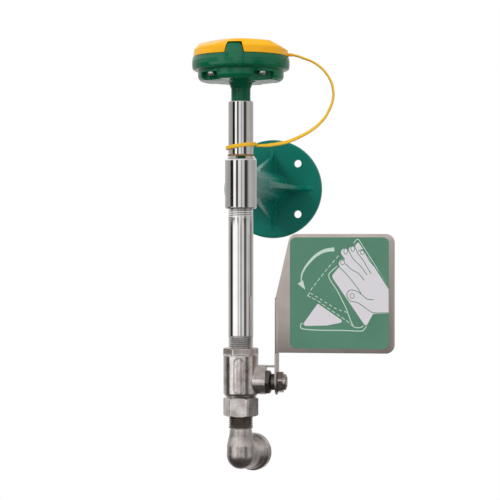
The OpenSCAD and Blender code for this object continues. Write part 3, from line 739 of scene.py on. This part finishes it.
def make_strap_loop():
    tilt = Matrix.Rotation(math.radians(-8.0), 3, "Y")
    band = rounded([(11.27, -1.6), (13.1, -1.6), (13.1, 1.6), (11.27, 1.6)], 0.45, 3, True)
    loop = turned("strap_loop_band", band, STRAP_YELLOW, at=(0, -REACH, 29), ring=True, turn=tilt, sharp=50)
    eye = prism("strap_eye", rounded([(11.6, -2.0), (14.6, -1.4), (14.6, 1.4), (11.6, 2.0)], 0.5, 3, True),
                -0.9, 1.2, STRAP_YELLOW, plane="xy", at=(0, -REACH, 30.6))
    bevelled(eye, 0.3)
    belongs(joined("strap_loop_piece", loop, eye), "column", "yellow_strap", "strap_loop")


def tab_outline(foot, top, grow):
    """The front tab's outline: grow widens it for the notch that the cover has round it."""
    half_low, half_top, shoulder = 7.85 + grow, 5.45 + grow, 110.5
    return [(-half_low, foot), (-half_low, shoulder), (-half_top, top), (half_top, top),
            (half_low, shoulder), (half_low, foot)]


def make_cover():
    outside = rounded([(0, 127.5), (35.2, 122.3), (39.95, 117.0), (40.5, 110.9)], [0, 2.6, 3.4, 0], 6)
    inside = rounded([(38.7, 110.9), (38.1, 117.0), (33.6, 120.4), (0, 125.6)], [0, 2.4, 2.4, 0], 5)
    outside[1:1] = [outside[0].lerp(outside[1], k / 14) for k in range(1, 14)]
    inside[-1:-1] = [inside[-2].lerp(inside[-1], k / 14) for k in range(1, 14)]
    cover = turned("cover_shell", outside + inside, YELLOW, steps=160)
    for v in cover.data.vertices:
        x, y, z = v.co.x / MM, v.co.y / MM + REACH, v.co.z / MM - DROP
        if z <= 112:
            continue
        # two flat facets take the top down toward the right and the left
        across, ahead, deep = x * 0.991 + y * 0.136, x * 0.136 - y * 0.991, math.hypot(x, y)
        outer = z > 127.5 - 0.1477 * deep - 0.9 or deep > 38.6
        skin = 0.0 if outer else 1.9
        right = 122.6 - 0.62 * (across * 0.966 + ahead * 0.259 - 29.3)
        left = 122.8 - 0.42 * (ahead * 0.682 - across * 0.731 - 27.0)
        v.co.z = (min(z, right - skin, left - skin) + DROP) * MM
    notch = rounded(tab_outline(108, 119.9, 0.6), [0, 1, 1.4, 1.4, 1, 0], 3, True)
    carved(cover, [prism("notch", notch, -60, -33, YELLOW, at=PIPE)])
    ear = [(38.2, -3.1), (42.0, -2.4), (44.8, -1.7), (44.8, 1.7), (42.0, 2.4), (38.2, 3.1)]
    lug = prism("lug", rounded(ear, 0.6, 3, True), 110.95, 113.2, YELLOW, plane="xy", at=PIPE)
    bevelled(lug, 0.35)
    belongs(joined("dust_cover_piece", cover, lug), "cover", "yellow_plastic", "dust_cover")


# ---------------------------------------------------------------- spray head
def make_bowl():
    outside = rounded([(8.2, 61.2), (8.2, 83.6), (9.0, 85.6), (10.4, 89.2), (13.4, 90.0), (36.6, 90.0),
                       (36.6, 99.2), (41.15, 99.4), (41.65, 103.4), (41.6, 106.8), (41.05, 110.5),
                       (38.45, 110.5)], [0, 1.0, 2, 2, 1.5, 6.4, 1.1, 2.4, 5, 5, 0.8, 0.5], 6)
    inside = [Vector(p) for p in ((38.45, 104.5), (26, 104.5), (26, 93.2), (5.5, 93.2), (5.5, 61.2))]
    bowl = turned("bowl_shell", outside + inside, GREEN_PLASTIC, steps=160, ring=True)
    cutters = []
    for a in SCREW_ANGLES:
        outline = rounded([(28.6, -10), (50, -10), (50, 10), (28.6, 10)], [3.2, 0, 0, 3.2], 6, True)
        cutters.append(prism("pocket", outline, 85, POCKET_TOP, GREEN_PLASTIC, plane="xy", at=PIPE,
                             turn=Matrix.Rotation(math.radians(a), 3, "Z")))
    carved(bowl, cutters)
    bowl = bevelled(bowl, 0.35, 2, 40)
    outline = rounded(tab_outline(101.2, 118.4, 0), [0.8, 0.2, 2.2, 2.2, 0.2, 0.8], 5, True)
    tab = prism("tab", outline, -41.88, -38.4, GREEN_PLASTIC, at=PIPE)
    for v in tab.data.vertices:
        lean = max(0.0, (v.co.z / MM - DROP - 111.0) / 8.4)
        v.co.y += 2.2 * MM * lean
        bend = (v.co.x / MM) ** 2 / (2 * 41.9)
        v.co.y += bend * MM
    bevelled(tab, 0.6, 3)
    thread = threaded("bowl_thread", 61.5, 22.4, 8.35, GREEN_PLASTIC, depth=0.55, high=2.0)
    belongs(joined("head_bowl_piece", bowl, tab, thread), "column", "green_plastic", "head_bowl")


def make_screws():
    profile = rounded([(0, -3.2), (2.2, -3.05), (3.3, -1.8), (3.3, 0), (1.9, 0), (1.9, 10), (0, 10.1)],
                      [0, 0.8, 0.8, 0.2, 0.1, 0.3, 0], 4)
    head = turned("screw_seed", profile, STEEL, at=(0, 0, 0), steps=40)
    cross = [prism("slot", [(-x, -y), (x, -y), (x, y), (-x, y)], -5, -1.6, STEEL, plane="xy")
             for x, y in ((2, 0.45), (0.45, 2))]
    carved(head, cross)
    marks = bpy.data.meshes.new("screw_marks")
    spots = []
    for a in SCREW_ANGLES:
        a = math.radians(a)
        x, y = SCREW_CIRCLE * math.cos(a), SCREW_CIRCLE * math.sin(a)
        spots.append((x * MM, (-REACH + y) * MM, (POCKET_TOP + DROP) * MM))
    marks.from_pydata(spots, [], [])
    screws = grown("head_screw_set", MARKS, seed=marks, Piece=head, Spin_seed=5, Finish=STEEL)
    bpy.data.objects.remove(head)
    soften(screws, 35)
    belongs(screws, "column", "steel", "head_screws")


# ---------------------------------------------------------------- pipe column and bracket
def make_column():
    profile = rounded([(7.9, 13), (10.2, 13), (10.67, 13.6), (10.67, 73.2), (8.3, 73.2), (8.3, 60.5),
                       (7.9, 60.5)], [0, 0, 0, 0.6, 0.3, 0, 0], 4, True)
    tube = turned("upper_tube_piece", profile, CHROME, ring=True, steps=128)
    belongs(tube, "column", "chrome", "upper_tube")
    profile = rounded([(10.9, -18.5), (12.6, -18.5), (13.55, -17.6), (13.55, 23.3), (11.15, 26.5),
                       (10.75, 26.5)], [0, 0.3, 0.6, 2.6, 0.25, 0], 6, True)
    coupling = turned("coupling_piece", profile, CHROME, ring=True, steps=128)
    belongs(coupling, "column", "chrome", "coupling")
    profile = [(0, -127.2), (9.9, -127.2), (10.67, -126.4), (10.67, -26.6), (9.9, -25.8), (0, -25.8)]
    middle = turned("nipple_plain", profile, CHROME, steps=128)
    # the lower thread takes the darker chrome, a painted shade on the thread
    low = threaded("nipple_low_thread", -149.0, 22.7, 10.64, THREAD_CHROME_PAINTED_SHADE, depth=0.5, high=2.6,
                   rows_a_turn=14)
    high = threaded("nipple_high_thread", -26.6, 21.6, 10.64, CHROME, depth=0.2, low=2.6, rows_a_turn=14)
    belongs(joined("lower_nipple_piece", middle, low, high), "column", "chrome", "lower_nipple")

    def lumpy(a, r, z):
        lump = 0.10 * noise.noise(Vector((2.2 * math.cos(a), 2.2 * math.sin(a), z)))
        return r + (lump if r > 10.9 else 0)

    profile = rounded([(10.7, 26.3), (11.35, 26.3), (11.4, 27.0), (11.15, 27.6), (10.7, 27.8)],
                      [0, 0, 0.2, 0.2, 0], 3, True)
    # the bead's dark brown is partly the sealant's own colour and partly a painted shadow line and a painted
    # reflection of the yellow strap
    seal = turned("sealant_bead", profile, SEALANT_AND_PAINTED_SHADOW, ring=True, steps=128, wobble=lumpy)
    belongs(seal, "column", "sealant", "sealant_ring")


def make_bracket():
    origin = (0, 0, 0)
    profile = rounded([(0, 0), (48.6, 0), (49, -0.4), (48.4, -6.4), (47.4, -7.0), (0, -7.2)],
                      [0, 0, 0, 0.8, 0.8, 0], 3)
    flange = turned("flange", profile, GREEN_PAINT, at=origin, along="y", steps=160)
    profile = [(0, -3), (14.5, -3), (12.0, -221), (0, -221)]
    hub = turned("hub", profile, GREEN_PAINT, at=origin, along="y")
    outline = rounded([(0, -3), (41, -3), (41, -7.3), (36, -8.8), (32.5, -13.0), (11.0, -143), (0, -143)],
                      [0, 0, 0, 3, 6, 1, 0], 5)
    rib = prism("rib_seed", outline, -0.5, 0.5, GREEN_PAINT, plane="xy")
    for v in rib.data.vertices:
        v.co.z *= 7.4 - 0.125 * v.co.x / MM
    ribs = grown("ribs", ROUND_AXIS, Piece=rib, Count=4, Axis=(0, 1, 0), Finish=GREEN_PAINT)
    bpy.data.objects.remove(rib)
    casting = fused("wall_bracket_piece", [flange, hub, ribs], 0.8, 3, GREEN_PAINT)
    cutters = [turned("saddle", [(0, -40), (13.6, -40), (13.6, 40), (0, 40)], GREEN_PAINT, steps=128)]
    profile = [(0, -40), (3.75, -40), (3.75, 5), (0, 5)]
    for a in (45, 135, 225, 315):
        x, z = BOLT_CIRCLE * math.cos(math.radians(a)), BOLT_CIRCLE * math.sin(math.radians(a))
        cutters.append(turned("bolt_hole", profile, GREEN_PAINT, at=(x, 0, z), along="y", steps=48))
    carved(casting, cutters, sharp=50)
    belongs(casting, "column", "green_paint", "wall_bracket")


# ---------------------------------------------------------------- ball valve
def make_border():
    """The raised border cast on the front of the valve: a long ring bent round the barrel."""
    bm = bmesh.new()
    count, end_radius, half_straight, skin, middle = 64, 3.9, 11.25, 14.75, 160.2
    path = []
    for k in range(count):
        a = 2 * math.pi * k / count
        side = math.sin(a) if abs(math.sin(a)) > 1e-6 else 1
        path.append((end_radius * math.cos(a), end_radius * math.sin(a) + math.copysign(half_straight, side)))
    rings = []
    for i, (x, z) in enumerate(path):
        after, before = path[(i + 1) % count], path[i - 1]
        side = Vector((after[1] - before[1], 0, before[0] - after[0])).normalized()
        y = -math.sqrt(skin ** 2 - x * x)
        front = Vector((x, y, 0)).normalized()
        centre = Vector((x, y, z - middle))
        rings.append([bm.verts.new(centre + side * (0.72 * math.cos(t)) + front * (0.8 * math.sin(t)))
                      for t in [k * math.pi / 4 for k in range(8)]])
    for i in range(count):
        bridge(bm, rings[i], rings[(i + 1) % count])
    return to_object("cast_border", bm, PLATED, at=PIPE, sharp=60)


def make_valve():
    top = hexagon("top_hex", -143.0, -137.0, VALVE_FLATS, 0, 1.4, PLATED, start=math.radians(10))
    profile = rounded([(0, -178.3), (13.3, -178.3), (14.9, -176.0), (14.9, -143.4), (14.3, -142.6),
                       (0, -142.6)], [0, 0.2, 0.5, 0.5, 0.3, 0], 3)
    barrel = turned("barrel", profile, PLATED, steps=128)
    foot = [math.radians(a) for a in range(0, -181, -12)]
    outline = [(-5, 14.3), (5, 14.3), (10.3, 2.5)]
    outline += [(10.6 * math.cos(a), 10.6 * math.sin(a)) for a in foot]
    outline.append((-10.3, 2.5))
    boss = prism("boss", rounded(outline, 0.8, 3, True), 4, 22, PLATED, plane="yz", at=STEM)
    body = fused("valve_casting", [top, barrel, boss], 0.42, 2, PLATED)
    belongs(joined("valve_body_piece", body, make_border()), "column", "plated_brass", "valve_body")
    end = hexagon("valve_end_piece", -195.0, -178.35, VALVE_FLATS, 1.6, 3.4, PLATED, corner=0.25, bore=10.42)
    belongs(end, "column", "plated_brass", "valve_end")
    nut = hexagon("packing_nut_piece", 22.0, 26.0, 19.0, 0.3, 2.6, DARK_METAL, at=STEM, along="x",
                  start=math.radians(30), bore=4.8)
    belongs(nut, "column", "dark_metal", "packing_nut")


def make_stem_group():
    on_stem = {"at": STEM, "along": "x"}
    profile = rounded([(0, 10.4), (6.95, 10.4), (6.95, 12.4), (4.7, 12.4), (4.7, 35.4), (0, 35.4)],
                      [0, 0.3, 0.3, 0.2, 0, 0], 3)
    shaft = turned("stem_collar", profile, PLATED_NUT, steps=64, **on_stem)
    tang = prism("tang", [(-4, -1.3), (4, -1.3), (4, 1.3), (-4, 1.3)], 7.45, 10.5, PLATED_NUT,
                 plane="yz", at=STEM)
    tip = threaded("stem_thread", 35.2, 4.5, 4.72, PLATED_NUT, depth=0.55, pitch=1.25, high=0.8, **on_stem)
    belongs(joined("valve_stem_piece", shaft, tang, tip), "flag", "plated_brass", "valve_stem")
    profile = rounded([(4.8, 26.3), (6.95, 26.3), (6.95, 30.1), (4.8, 30.1)], 0.35, 3, True)
    spacer = turned("stem_spacer_piece", profile, DARK_METAL, steps=64, ring=True, **on_stem)
    belongs(spacer, "flag", "dark_metal", "stem_spacer")
    profile = rounded([(4.8, 31.7), (8.8, 31.7), (8.8, 32.5), (4.8, 32.5)], 0.2, 2, True)
    washer = turned("lock_washer_piece", profile, DARK_METAL, steps=64, ring=True, **on_stem)
    belongs(washer, "flag", "dark_metal", "lock_washer")
    nut = hexagon("nut_hex", 32.5, 36.7, 16.5, 0.6, 1.0, PLATED_NUT, start=math.radians(15), bore=4.8,
                  **on_stem)
    profile = rounded([(4.8, 36.5), (6.85, 36.5), (6.85, 39.1), (4.8, 39.1)], [0, 0, 0.7, 0.3], 4, True)
    collar = turned("nut_collar", profile, PLATED_NUT, steps=64, ring=True, **on_stem)
    belongs(joined("lock_nut_piece", nut, collar), "flag", "plated_brass", "lock_nut")


# ---------------------------------------------------------------- push flag and label
FLAG_X, FLAG_END = 30.1, 131.4
FLAG_LOW, FLAG_TOP, ARM_TOP = -140.3, -40.1, -94.2
FRONT = -10.95                     # front face of the flag, from the pipe axis
FILM_FACE = FRONT - 0.2            # front face of the label's film
BEND = 3.0                         # outer radius of the bend between the face and the arm


def make_flag():
    """One bent sheet: its outer skin is drawn first and then given its thickness."""
    bm = bmesh.new()
    x0 = FLAG_X + BEND
    slant_left = FLAG_X + 0.9
    lean = 10.8 / (FLAG_TOP - 7.3 - ARM_TOP)
    outline = [(x0, FLAG_LOW), (FLAG_END, FLAG_LOW), (FLAG_END, FLAG_TOP),
               (slant_left + lean * (FLAG_TOP - ARM_TOP), FLAG_TOP), (slant_left, ARM_TOP), (x0, ARM_TOP)]
    plate = rounded(outline, [0, 7.4, 7.4, 7.0, 0, 0], 8, True)
    face = [bm.verts.new((p.x, FRONT, p.y)) for p in plate]
    bm.faces.new(face)
    last = (face[0], face[-1])
    for k in range(1, 8):
        a = math.radians(90 * k / 7)
        x, y = x0 - BEND * math.sin(a), FRONT + BEND - BEND * math.cos(a)
        new = (bm.verts.new((x, y, FLAG_LOW)), bm.verts.new((x, y, ARM_TOP)))
        bm.faces.new((last[0], last[1], new[1], new[0]))
        last = new
    half = 10.75
    arm = [(half, ARM_TOP), (half, STEM_Z)]
    half_round = [math.pi * k / 20 for k in range(1, 20)]
    arm += [(half * math.cos(a), STEM_Z - half * math.sin(a)) for a in half_round]
    arm += [(-half, STEM_Z), (-half, FLAG_LOW - 0.6)]
    verts = [last[0], last[1]] + [bm.verts.new((FLAG_X, y, z)) for y, z in arm]
    bm.faces.new(verts)
    flag = to_object("push_flag_piece", bm, SHEET, at=PIPE)
    plate_face = max(flag.data.polygons, key=lambda f: f.area)
    solid = flag.modifiers.new("thickness", "SOLIDIFY")
    solid.thickness = 1.6 * MM
    solid.offset = -1.0 if plate_face.normal.y < 0 else 1.0
    solid.use_even_offset = True
    plain(flag)
    hole = turned("stem_hole", [(0, 25), (4.8, 25), (4.8, 36), (0, 36)], SHEET, at=STEM, along="x", steps=64)
    carved(flag, [hole], solver="EXACT")
    bevelled(flag, 0.3, 2, 35)
    tab = prism("stop_tab", [(22.3, 12.6), (30.5, 12.6), (30.5, 14.2), (22.3, 14.2)], -3, 3, SHEET, at=STEM)
    bevelled(tab, 0.25)
    belongs(joined("push_flag_piece", flag, tab), "flag", "stainless_sheet", "push_flag")


LABEL_LOW_LEFT = (43.4, -136.5)    # the film's corner, from the pipe axis and in the column's heights
LABEL_WIDTH, LABEL_HEIGHT = 83.2, 93.6


def on_label(across, up):
    """A point of the drawing, in mm from the film's lower left corner."""
    return (LABEL_LOW_LEFT[0] + across, LABEL_LOW_LEFT[1] + up)


def printed(name, outline, height, material):
    """A printed shape that stands a little proud of the film."""
    return prism(name, outline, FILM_FACE - height, FILM_FACE + 0.01, material, at=PIPE)


def stroke(points, width, height, material, taper=1.0):
    """A printed line of an even or tapering width."""
    pts = [Vector(p) for p in points]
    left, right = [], []
    for i, p in enumerate(pts):
        d = (pts[min(i + 1, len(pts) - 1)] - pts[max(i - 1, 0)]).normalized()
        w = width / 2 * (1 + (taper - 1) * i / (len(pts) - 1))
        n = Vector((-d.y, d.x)) * w
        left.append(p + n)
        right.append(p - n)
    return printed("line", left + right[::-1], height, material)


def patch(points, height, material):
    """A printed area: its outline is turned to run one way round, whichever way it was drawn."""
    points = [Vector(q) for q in points]
    if sum(a.x * b.y - b.x * a.y for a, b in zip(points, points[1:] + points[:1])) < 0:
        points.reverse()
    return printed("patch", points, height, material)


# The drawing on the label: a hand pushing the flag down, in mm on the film
BOARD = ((35, 61), (41, 68), (57.5, 90), (83, 50), (83, 30), (70, 29.5), (64, 18.5))
WEDGE = ((23.5, 38), (46, 22.5), (31, 19.5), (13, 19), (11, 20.5))
FINGERS = (((43.5, 72.5), (57, 60), 3.1), ((45.5, 82), (55.5, 68), 3.1), ((52, 84), (60, 71), 2.9))
NAILS = (((52.5, 44.5), 1.8, 2.1), ((44.5, 72.5), 1.75, 1.9), ((47, 82), 1.5, 2.5), ((53, 84), 1.5, 2.2),
         ((61, 81), 1.6, 1.8))
BOARD_EDGE = ((53.5, 88.5), (56, 91.5), (58, 91.5), (62, 85.5), (71.5, 70.5), (82.5, 52.5))
BASE_LINE = ((10.5, 21.5), (9, 19.5), (11, 16.5), (26, 15.5), (43, 15.5), (59.5, 15), (62.5, 16.5),
             (64.5, 19))
OLD_FLAG = ((40, 69.5), (33.5, 63.5), (33, 60.5), (34.5, 57), (39.5, 49.5), (44.5, 40), (48, 32.5),
            (50.5, 25.5), (53, 20), (55, 18), (59.5, 18), (62, 19.5))
SWEEP = ((37.5, 83.5), (30, 82.5), (23, 79), (17, 73.5), (12.5, 67.5), (10, 62), (9.5, 56.5))
ARROW_HEAD = ((6.5, 54.5), (11, 57.5), (13, 49.5))
HAND_LINES = (
    ((83, 30.5), (70.5, 30.5), (65, 33.5), (60, 37), (56.5, 39), (51.5, 40), (49, 42.5), (48, 45.5),
     (49, 48), (51.5, 49.5), (56, 48.5), (60, 46), (63.5, 43), (66.5, 41.5), (70.5, 41.5)),
    ((60, 46), (57.5, 50.5), (52, 57.5), (46.5, 64), (41.5, 69), (40.5, 72), (40.5, 74.5), (42, 77)),
    ((47, 71.5), (51.5, 67), (57.5, 63.5), (60, 61), (62.5, 57.5)),
    ((42, 77), (41.5, 81.5), (42.5, 84.5), (44.5, 86), (47, 85.5)),
    ((49.5, 82.5), (53, 76), (59.5, 69.5), (62.5, 65.5), (65, 62)),
    ((47, 84.5), (49, 87), (51.5, 87.5), (54.5, 86), (56, 83), (58, 79), (62, 74), (65, 68.5),
     (68.5, 63)),
    ((57.5, 81.5), (59.5, 83), (62, 83), (63.5, 80.5), (67, 74), (74.5, 65), (80.5, 55.5), (83, 52.5)),
)
DASHED_LINES = (
    (((16, 46), (18.5, 50.5), (29, 64), (40, 77)), 3.2, 1.2),
    (((16, 44), (24.5, 39.5), (33, 33.5), (48, 23.5), (52.5, 19.5)), 3.4, 1.4),
    (((18.5, 46), (26, 41.5), (34, 36.5), (40, 33), (47, 31)), 2.4, 1.8),
)


def make_label_piece():
    right, top = on_label(LABEL_WIDTH, LABEL_HEIGHT)
    left, low = LABEL_LOW_LEFT
    outline = rounded([(left, low), (right, low), (right, top), (left, top)], 5.0, 8, True)
    belongs(prism("film", outline, FILM_FACE, FRONT, LABEL, at=PIPE), "flag", "label_film", "flag_label")
    pale, mint, dark = [], [], []

    def placed(points):
        return [on_label(*p) for p in points]

    def mint_line(points, width, taper=1.0):
        mint.append(stroke(smooth_line(placed(points), 5), width, 0.03, MINT_PRINT, taper))

    def dark_line(points, width, steps):
        dark.append(stroke(smooth_line(placed(points), steps), width, 0.06, GREEN_PRINT))

    for points, radius in ((BOARD, [3, 1, 1.2, 0.3, 0.3, 1, 1.5]), (WEDGE, [1, 1.5, 3, 2.5, 1.5])):
        pale.append(patch(rounded(placed(points), radius, 5, True), 0.03, WHITE_PRINT))
    for tip, root, wide in FINGERS:
        tip, root = Vector(on_label(*tip)), Vector(on_label(*root))
        along = (root - tip).normalized() * wide
        across = Vector((-along.y, along.x))
        tip -= along * 0.6
        finger = [tip + across, root + across, root - across, tip - across]
        radius = [wide * 0.9, 0.3, 0.3, wide * 0.9]
        pale.append(patch(rounded(finger, radius, 6, True), 0.024, WHITE_PRINT))
    mint_line(BOARD_EDGE, 0.6)
    mint_line(BASE_LINE, 0.8)
    mint_line(OLD_FLAG, 0.75)
    mint_line(SWEEP, 3.3, 0.22)
    mint.append(patch(placed(ARROW_HEAD), 0.03, MINT_PRINT))
    for points in HAND_LINES:
        dark_line(points, 0.62, 5)
    twelfths = [k * math.pi / 6 for k in range(13)]
    for (x, z), wide, tall in NAILS:
        dark_line([(x + wide * math.cos(a), z + tall * math.sin(a)) for a in twelfths], 0.5, 2)
    belongs(joined("label_pale_print", *pale), "flag", "label_film")
    belongs(joined("label_dark_lines", *dark), "flag", "label_film")
    for points, dash, gap in DASHED_LINES:
        seed = bpy.data.meshes.new("dash_line")
        edges = [(k, k + 1) for k in range(len(points) - 1)]
        seed.from_pydata([(x, 0, z) for x, z in placed(points)], edges, [])
        dashes = grown("dashes", DASHES, seed=seed, Dash=dash, Gap=gap, Width=0.65, Thickness=0.04,
                       Finish=MINT_PRINT)
        place = Matrix.Translation((0, -REACH + FILM_FACE - 0.01, DROP))
        dashes.data.transform(Matrix.Scale(MM, 4) @ place)
        mint.append(dashes)
    belongs(joined("label_mint_print", *mint), "flag", "label_film")


# ---------------------------------------------------------------- street elbow
def make_elbow():
    corner = (0, -REACH, ELBOW_Z + DROP)
    on_leg = {"at": corner, "along": "y", "turn": Matrix.Rotation(-TURN, 3, "Z")}
    profile = rounded([(0, -229), (11.9, -229), (11.9, -220.5), (10.1, -212.5), (9.1, -205.2), (0, -205.2)],
                      [0, 0, 4, 4, 0.3, 0], 5)
    neck = turned("neck", profile, PLATED_ELBOW)
    half_round = [math.pi * k / 24 for k in range(25)]
    profile = [(12.1 * math.sin(t), -12.1 * math.cos(t)) for t in half_round]
    ball = turned("knee", profile, PLATED_ELBOW, at=corner, steps=64)
    profile = rounded([(0, 0), (12.0, 0), (12.9, 12.0), (14.5, 17.5), (14.5, 19.6), (16.2, 21.2),
                       (16.2, 28.4), (0, 28.4)], [0, 0, 3, 1.2, 0.8, 1.6, 1.2, 0], 4)
    leg = turned("leg", profile, PLATED_ELBOW, **on_leg)
    casting = fused("elbow_casting", [neck, ball, leg], 0.5, 4, PLATED_ELBOW)
    bore = threaded("elbow_bore", 14.2, 16.0, 10.6, PLATED_ELBOW, depth=0.9, **on_leg)
    mouth = turned("mouth", [(0, 26.9), (10.0, 26.9), (11.4, 29.5), (0, 29.5)], PLATED_ELBOW, **on_leg)
    way = turned("way", [(0, 0), (6.6, 0), (6.6, 15), (0, 15)], PLATED_ELBOW, steps=64, **on_leg)
    carved(casting, [bore, mouth, way], sharp=50)
    male = threaded("elbow_male", -205.3, 22.3, 10.35, THREAD_METAL, low=2.2, depth=0.9, rows_a_turn=14)
    belongs(joined("street_elbow_piece", casting, male), "column", "plated_elbow", "street_elbow")


for make in (make_strap, make_strap_loop, make_cover, make_bowl, make_screws, make_column, make_bracket,
             make_valve, make_stem_group, make_flag, make_label_piece, make_elbow):
    make()


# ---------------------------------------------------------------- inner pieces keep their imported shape
for part in frame["record"]["subparts"]:
    shown = frame["nodes"][part["node"]]
    shown.data.materials.clear()
    shown.data.materials.append(FINISH_OF_SLOT[part["material_slot"]])


# ---------------------------------------------------------------- floor, studio and light
def add_floor():
    mesh = bpy.data.meshes.new("floor")
    radius, behind, height = 0.9, 0.45, -0.62
    around = [2 * math.pi * k / 64 for k in range(64)]
    ring = [(radius * math.cos(a), behind + radius * math.sin(a), height) for a in around]
    mesh.from_pydata(ring, [], [tuple(range(64))])
    mesh.materials.append(plain_finish("pale_floor", (0.80, 0.80, 0.79), (0.84, 0.84, 0.83), 0.6, 3))
    floor = bpy.data.objects.new("floor", mesh)
    scene.collection.objects.link(floor)
    floor.visible_glossy = False


add_floor()


UPPER_TONES = (
    (-180, .60), (-144, .55), (-122, .42), (-86, .38), (-80, .10), (-75, .010), (-58, .010),
    (-54, .9), (-51, 1.2), (-39, 1.15), (-36, .5), (-32, .03), (-23, .02), (-18, .75), (-14, .9),
    (-2, .88), (2, .35), (6, .33), (10, .62), (20, .74), (25, .4), (30, .05), (42, .03), (49, .14),
    (56, .34), (62, .52), (84, .48), (100, .42), (130, .42), (150, .55), (180, .60))
LOWER_TONES = (
    (-180, .62), (-135, .60), (-118, .34), (-107, .18), (-103, .02), (-82, .02), (-78, .9),
    (-74, 1.2), (-37, 1.2), (-28, .8), (-21, .50), (-15, 1.0), (-10, .95), (-4, .42), (6, .34),
    (12, .72), (26, .76), (31, .18), (36, .07), (45, .08), (52, .34), (60, .60), (80, .62),
    (90, .48), (97, .2), (104, .17), (116, .34), (136, .52), (180, .62))
WARM = (1.0, 0.985, 0.975)


def add_world():
    """Bright and dark tones round the studio for the plating, and plain white behind the part.

    The tones stand at angles round the part, counted from the side the camera looks from. One
    ring of them is above the horizon and another is below it.
    """
    world = bpy.data.worlds.new("studio")
    scene.world = world
    w = Shading(world)
    m, mixed = w.math, w.mixed
    place = w.nodes.new("ShaderNodeTexCoord")
    axes = w.nodes.new("ShaderNodeSeparateXYZ")
    w.links.new(place.outputs["Generated"], axes.inputs[0])
    x, y, z = axes.outputs
    sine, cosine = math.sin(CAMERA_TURN), math.cos(CAMERA_TURN)
    right = m("ADD", m("MULTIPLY", x, cosine), m("MULTIPLY", y, sine))
    front = m("SUBTRACT", m("MULTIPLY", x, sine), m("MULTIPLY", y, cosine))
    spot = m("ADD", m("DIVIDE", m("ARCTAN2", right, front), 2 * math.pi), 0.5)

    def between(value, low, high):
        return w.spread(value, 0.0, 1.0, low, high)

    def round_about(tones):
        return w.ramp(spot, [(angle / 360 + 0.5, [bright * c for c in WARM]) for angle, bright in tones])

    upper, lower = round_about(UPPER_TONES), round_about(LOWER_TONES)
    ring = mixed(between(z, 0.0130, 0.0165), lower, upper)
    under = mixed(between(front, -0.95, -0.45), (0.70, 0.69, 0.68), (0.085, 0.08, 0.075))
    ring = mixed(between(z, -0.46, -0.12), under, ring)
    strip = mixed(between(right, -0.2, 0.9), (1.15, 1.14, 1.13), (0.62, 0.61, 0.60))
    ring = mixed(between(z, 0.10, 0.24), ring, strip)
    ring = mixed(between(z, 0.34, 0.60), ring, (0.46, 0.45, 0.44))
    base = w.nodes["Background"]
    w.links.new(ring, base.inputs["Color"])
    soft = w.nodes.new("ShaderNodeBackground")
    grey = mixed(between(z, -0.8, 0.8), (0.34, 0.34, 0.34), (0.72, 0.72, 0.72))
    w.links.new(grey, soft.inputs["Color"])
    backdrop = w.nodes.new("ShaderNodeBackground")
    backdrop.inputs["Color"].default_value = (1, 1, 1, 1)
    seen = w.nodes.new("ShaderNodeLightPath")
    last = base.outputs[0]
    for ray, shader in (("Is Diffuse Ray", soft), ("Is Camera Ray", backdrop)):
        pick = w.nodes.new("ShaderNodeMixShader")
        w.links.new(seen.outputs[ray], pick.inputs[0])
        w.links.new(last, pick.inputs[1])
        w.links.new(shader.outputs[0], pick.inputs[2])
        last = pick.outputs[0]
    w.links.new(last, w.nodes["World Output"].inputs["Surface"])


add_world()


def add_light(name, spot, energy, size):
    data = bpy.data.lights.new(name, "AREA")
    data.energy, data.size = energy, size
    obj = bpy.data.objects.new(name, data)
    spot = Vector(spot)
    aim = (Vector((0.03, -0.2, -0.05)) - spot).to_track_quat("-Z", "Y")
    obj.matrix_world = Matrix.Translation(spot) @ aim.to_matrix().to_4x4()
    obj.visible_glossy = False
    scene.collection.objects.link(obj)


add_light("key_light", (-1.0, -1.5, 1.1), 18, 0.8)
add_light("fill_light", (1.3, -1.3, 0.5), 6, 1.0)
add_light("top_light", (0.1, -0.1, 1.6), 6, 1.0)
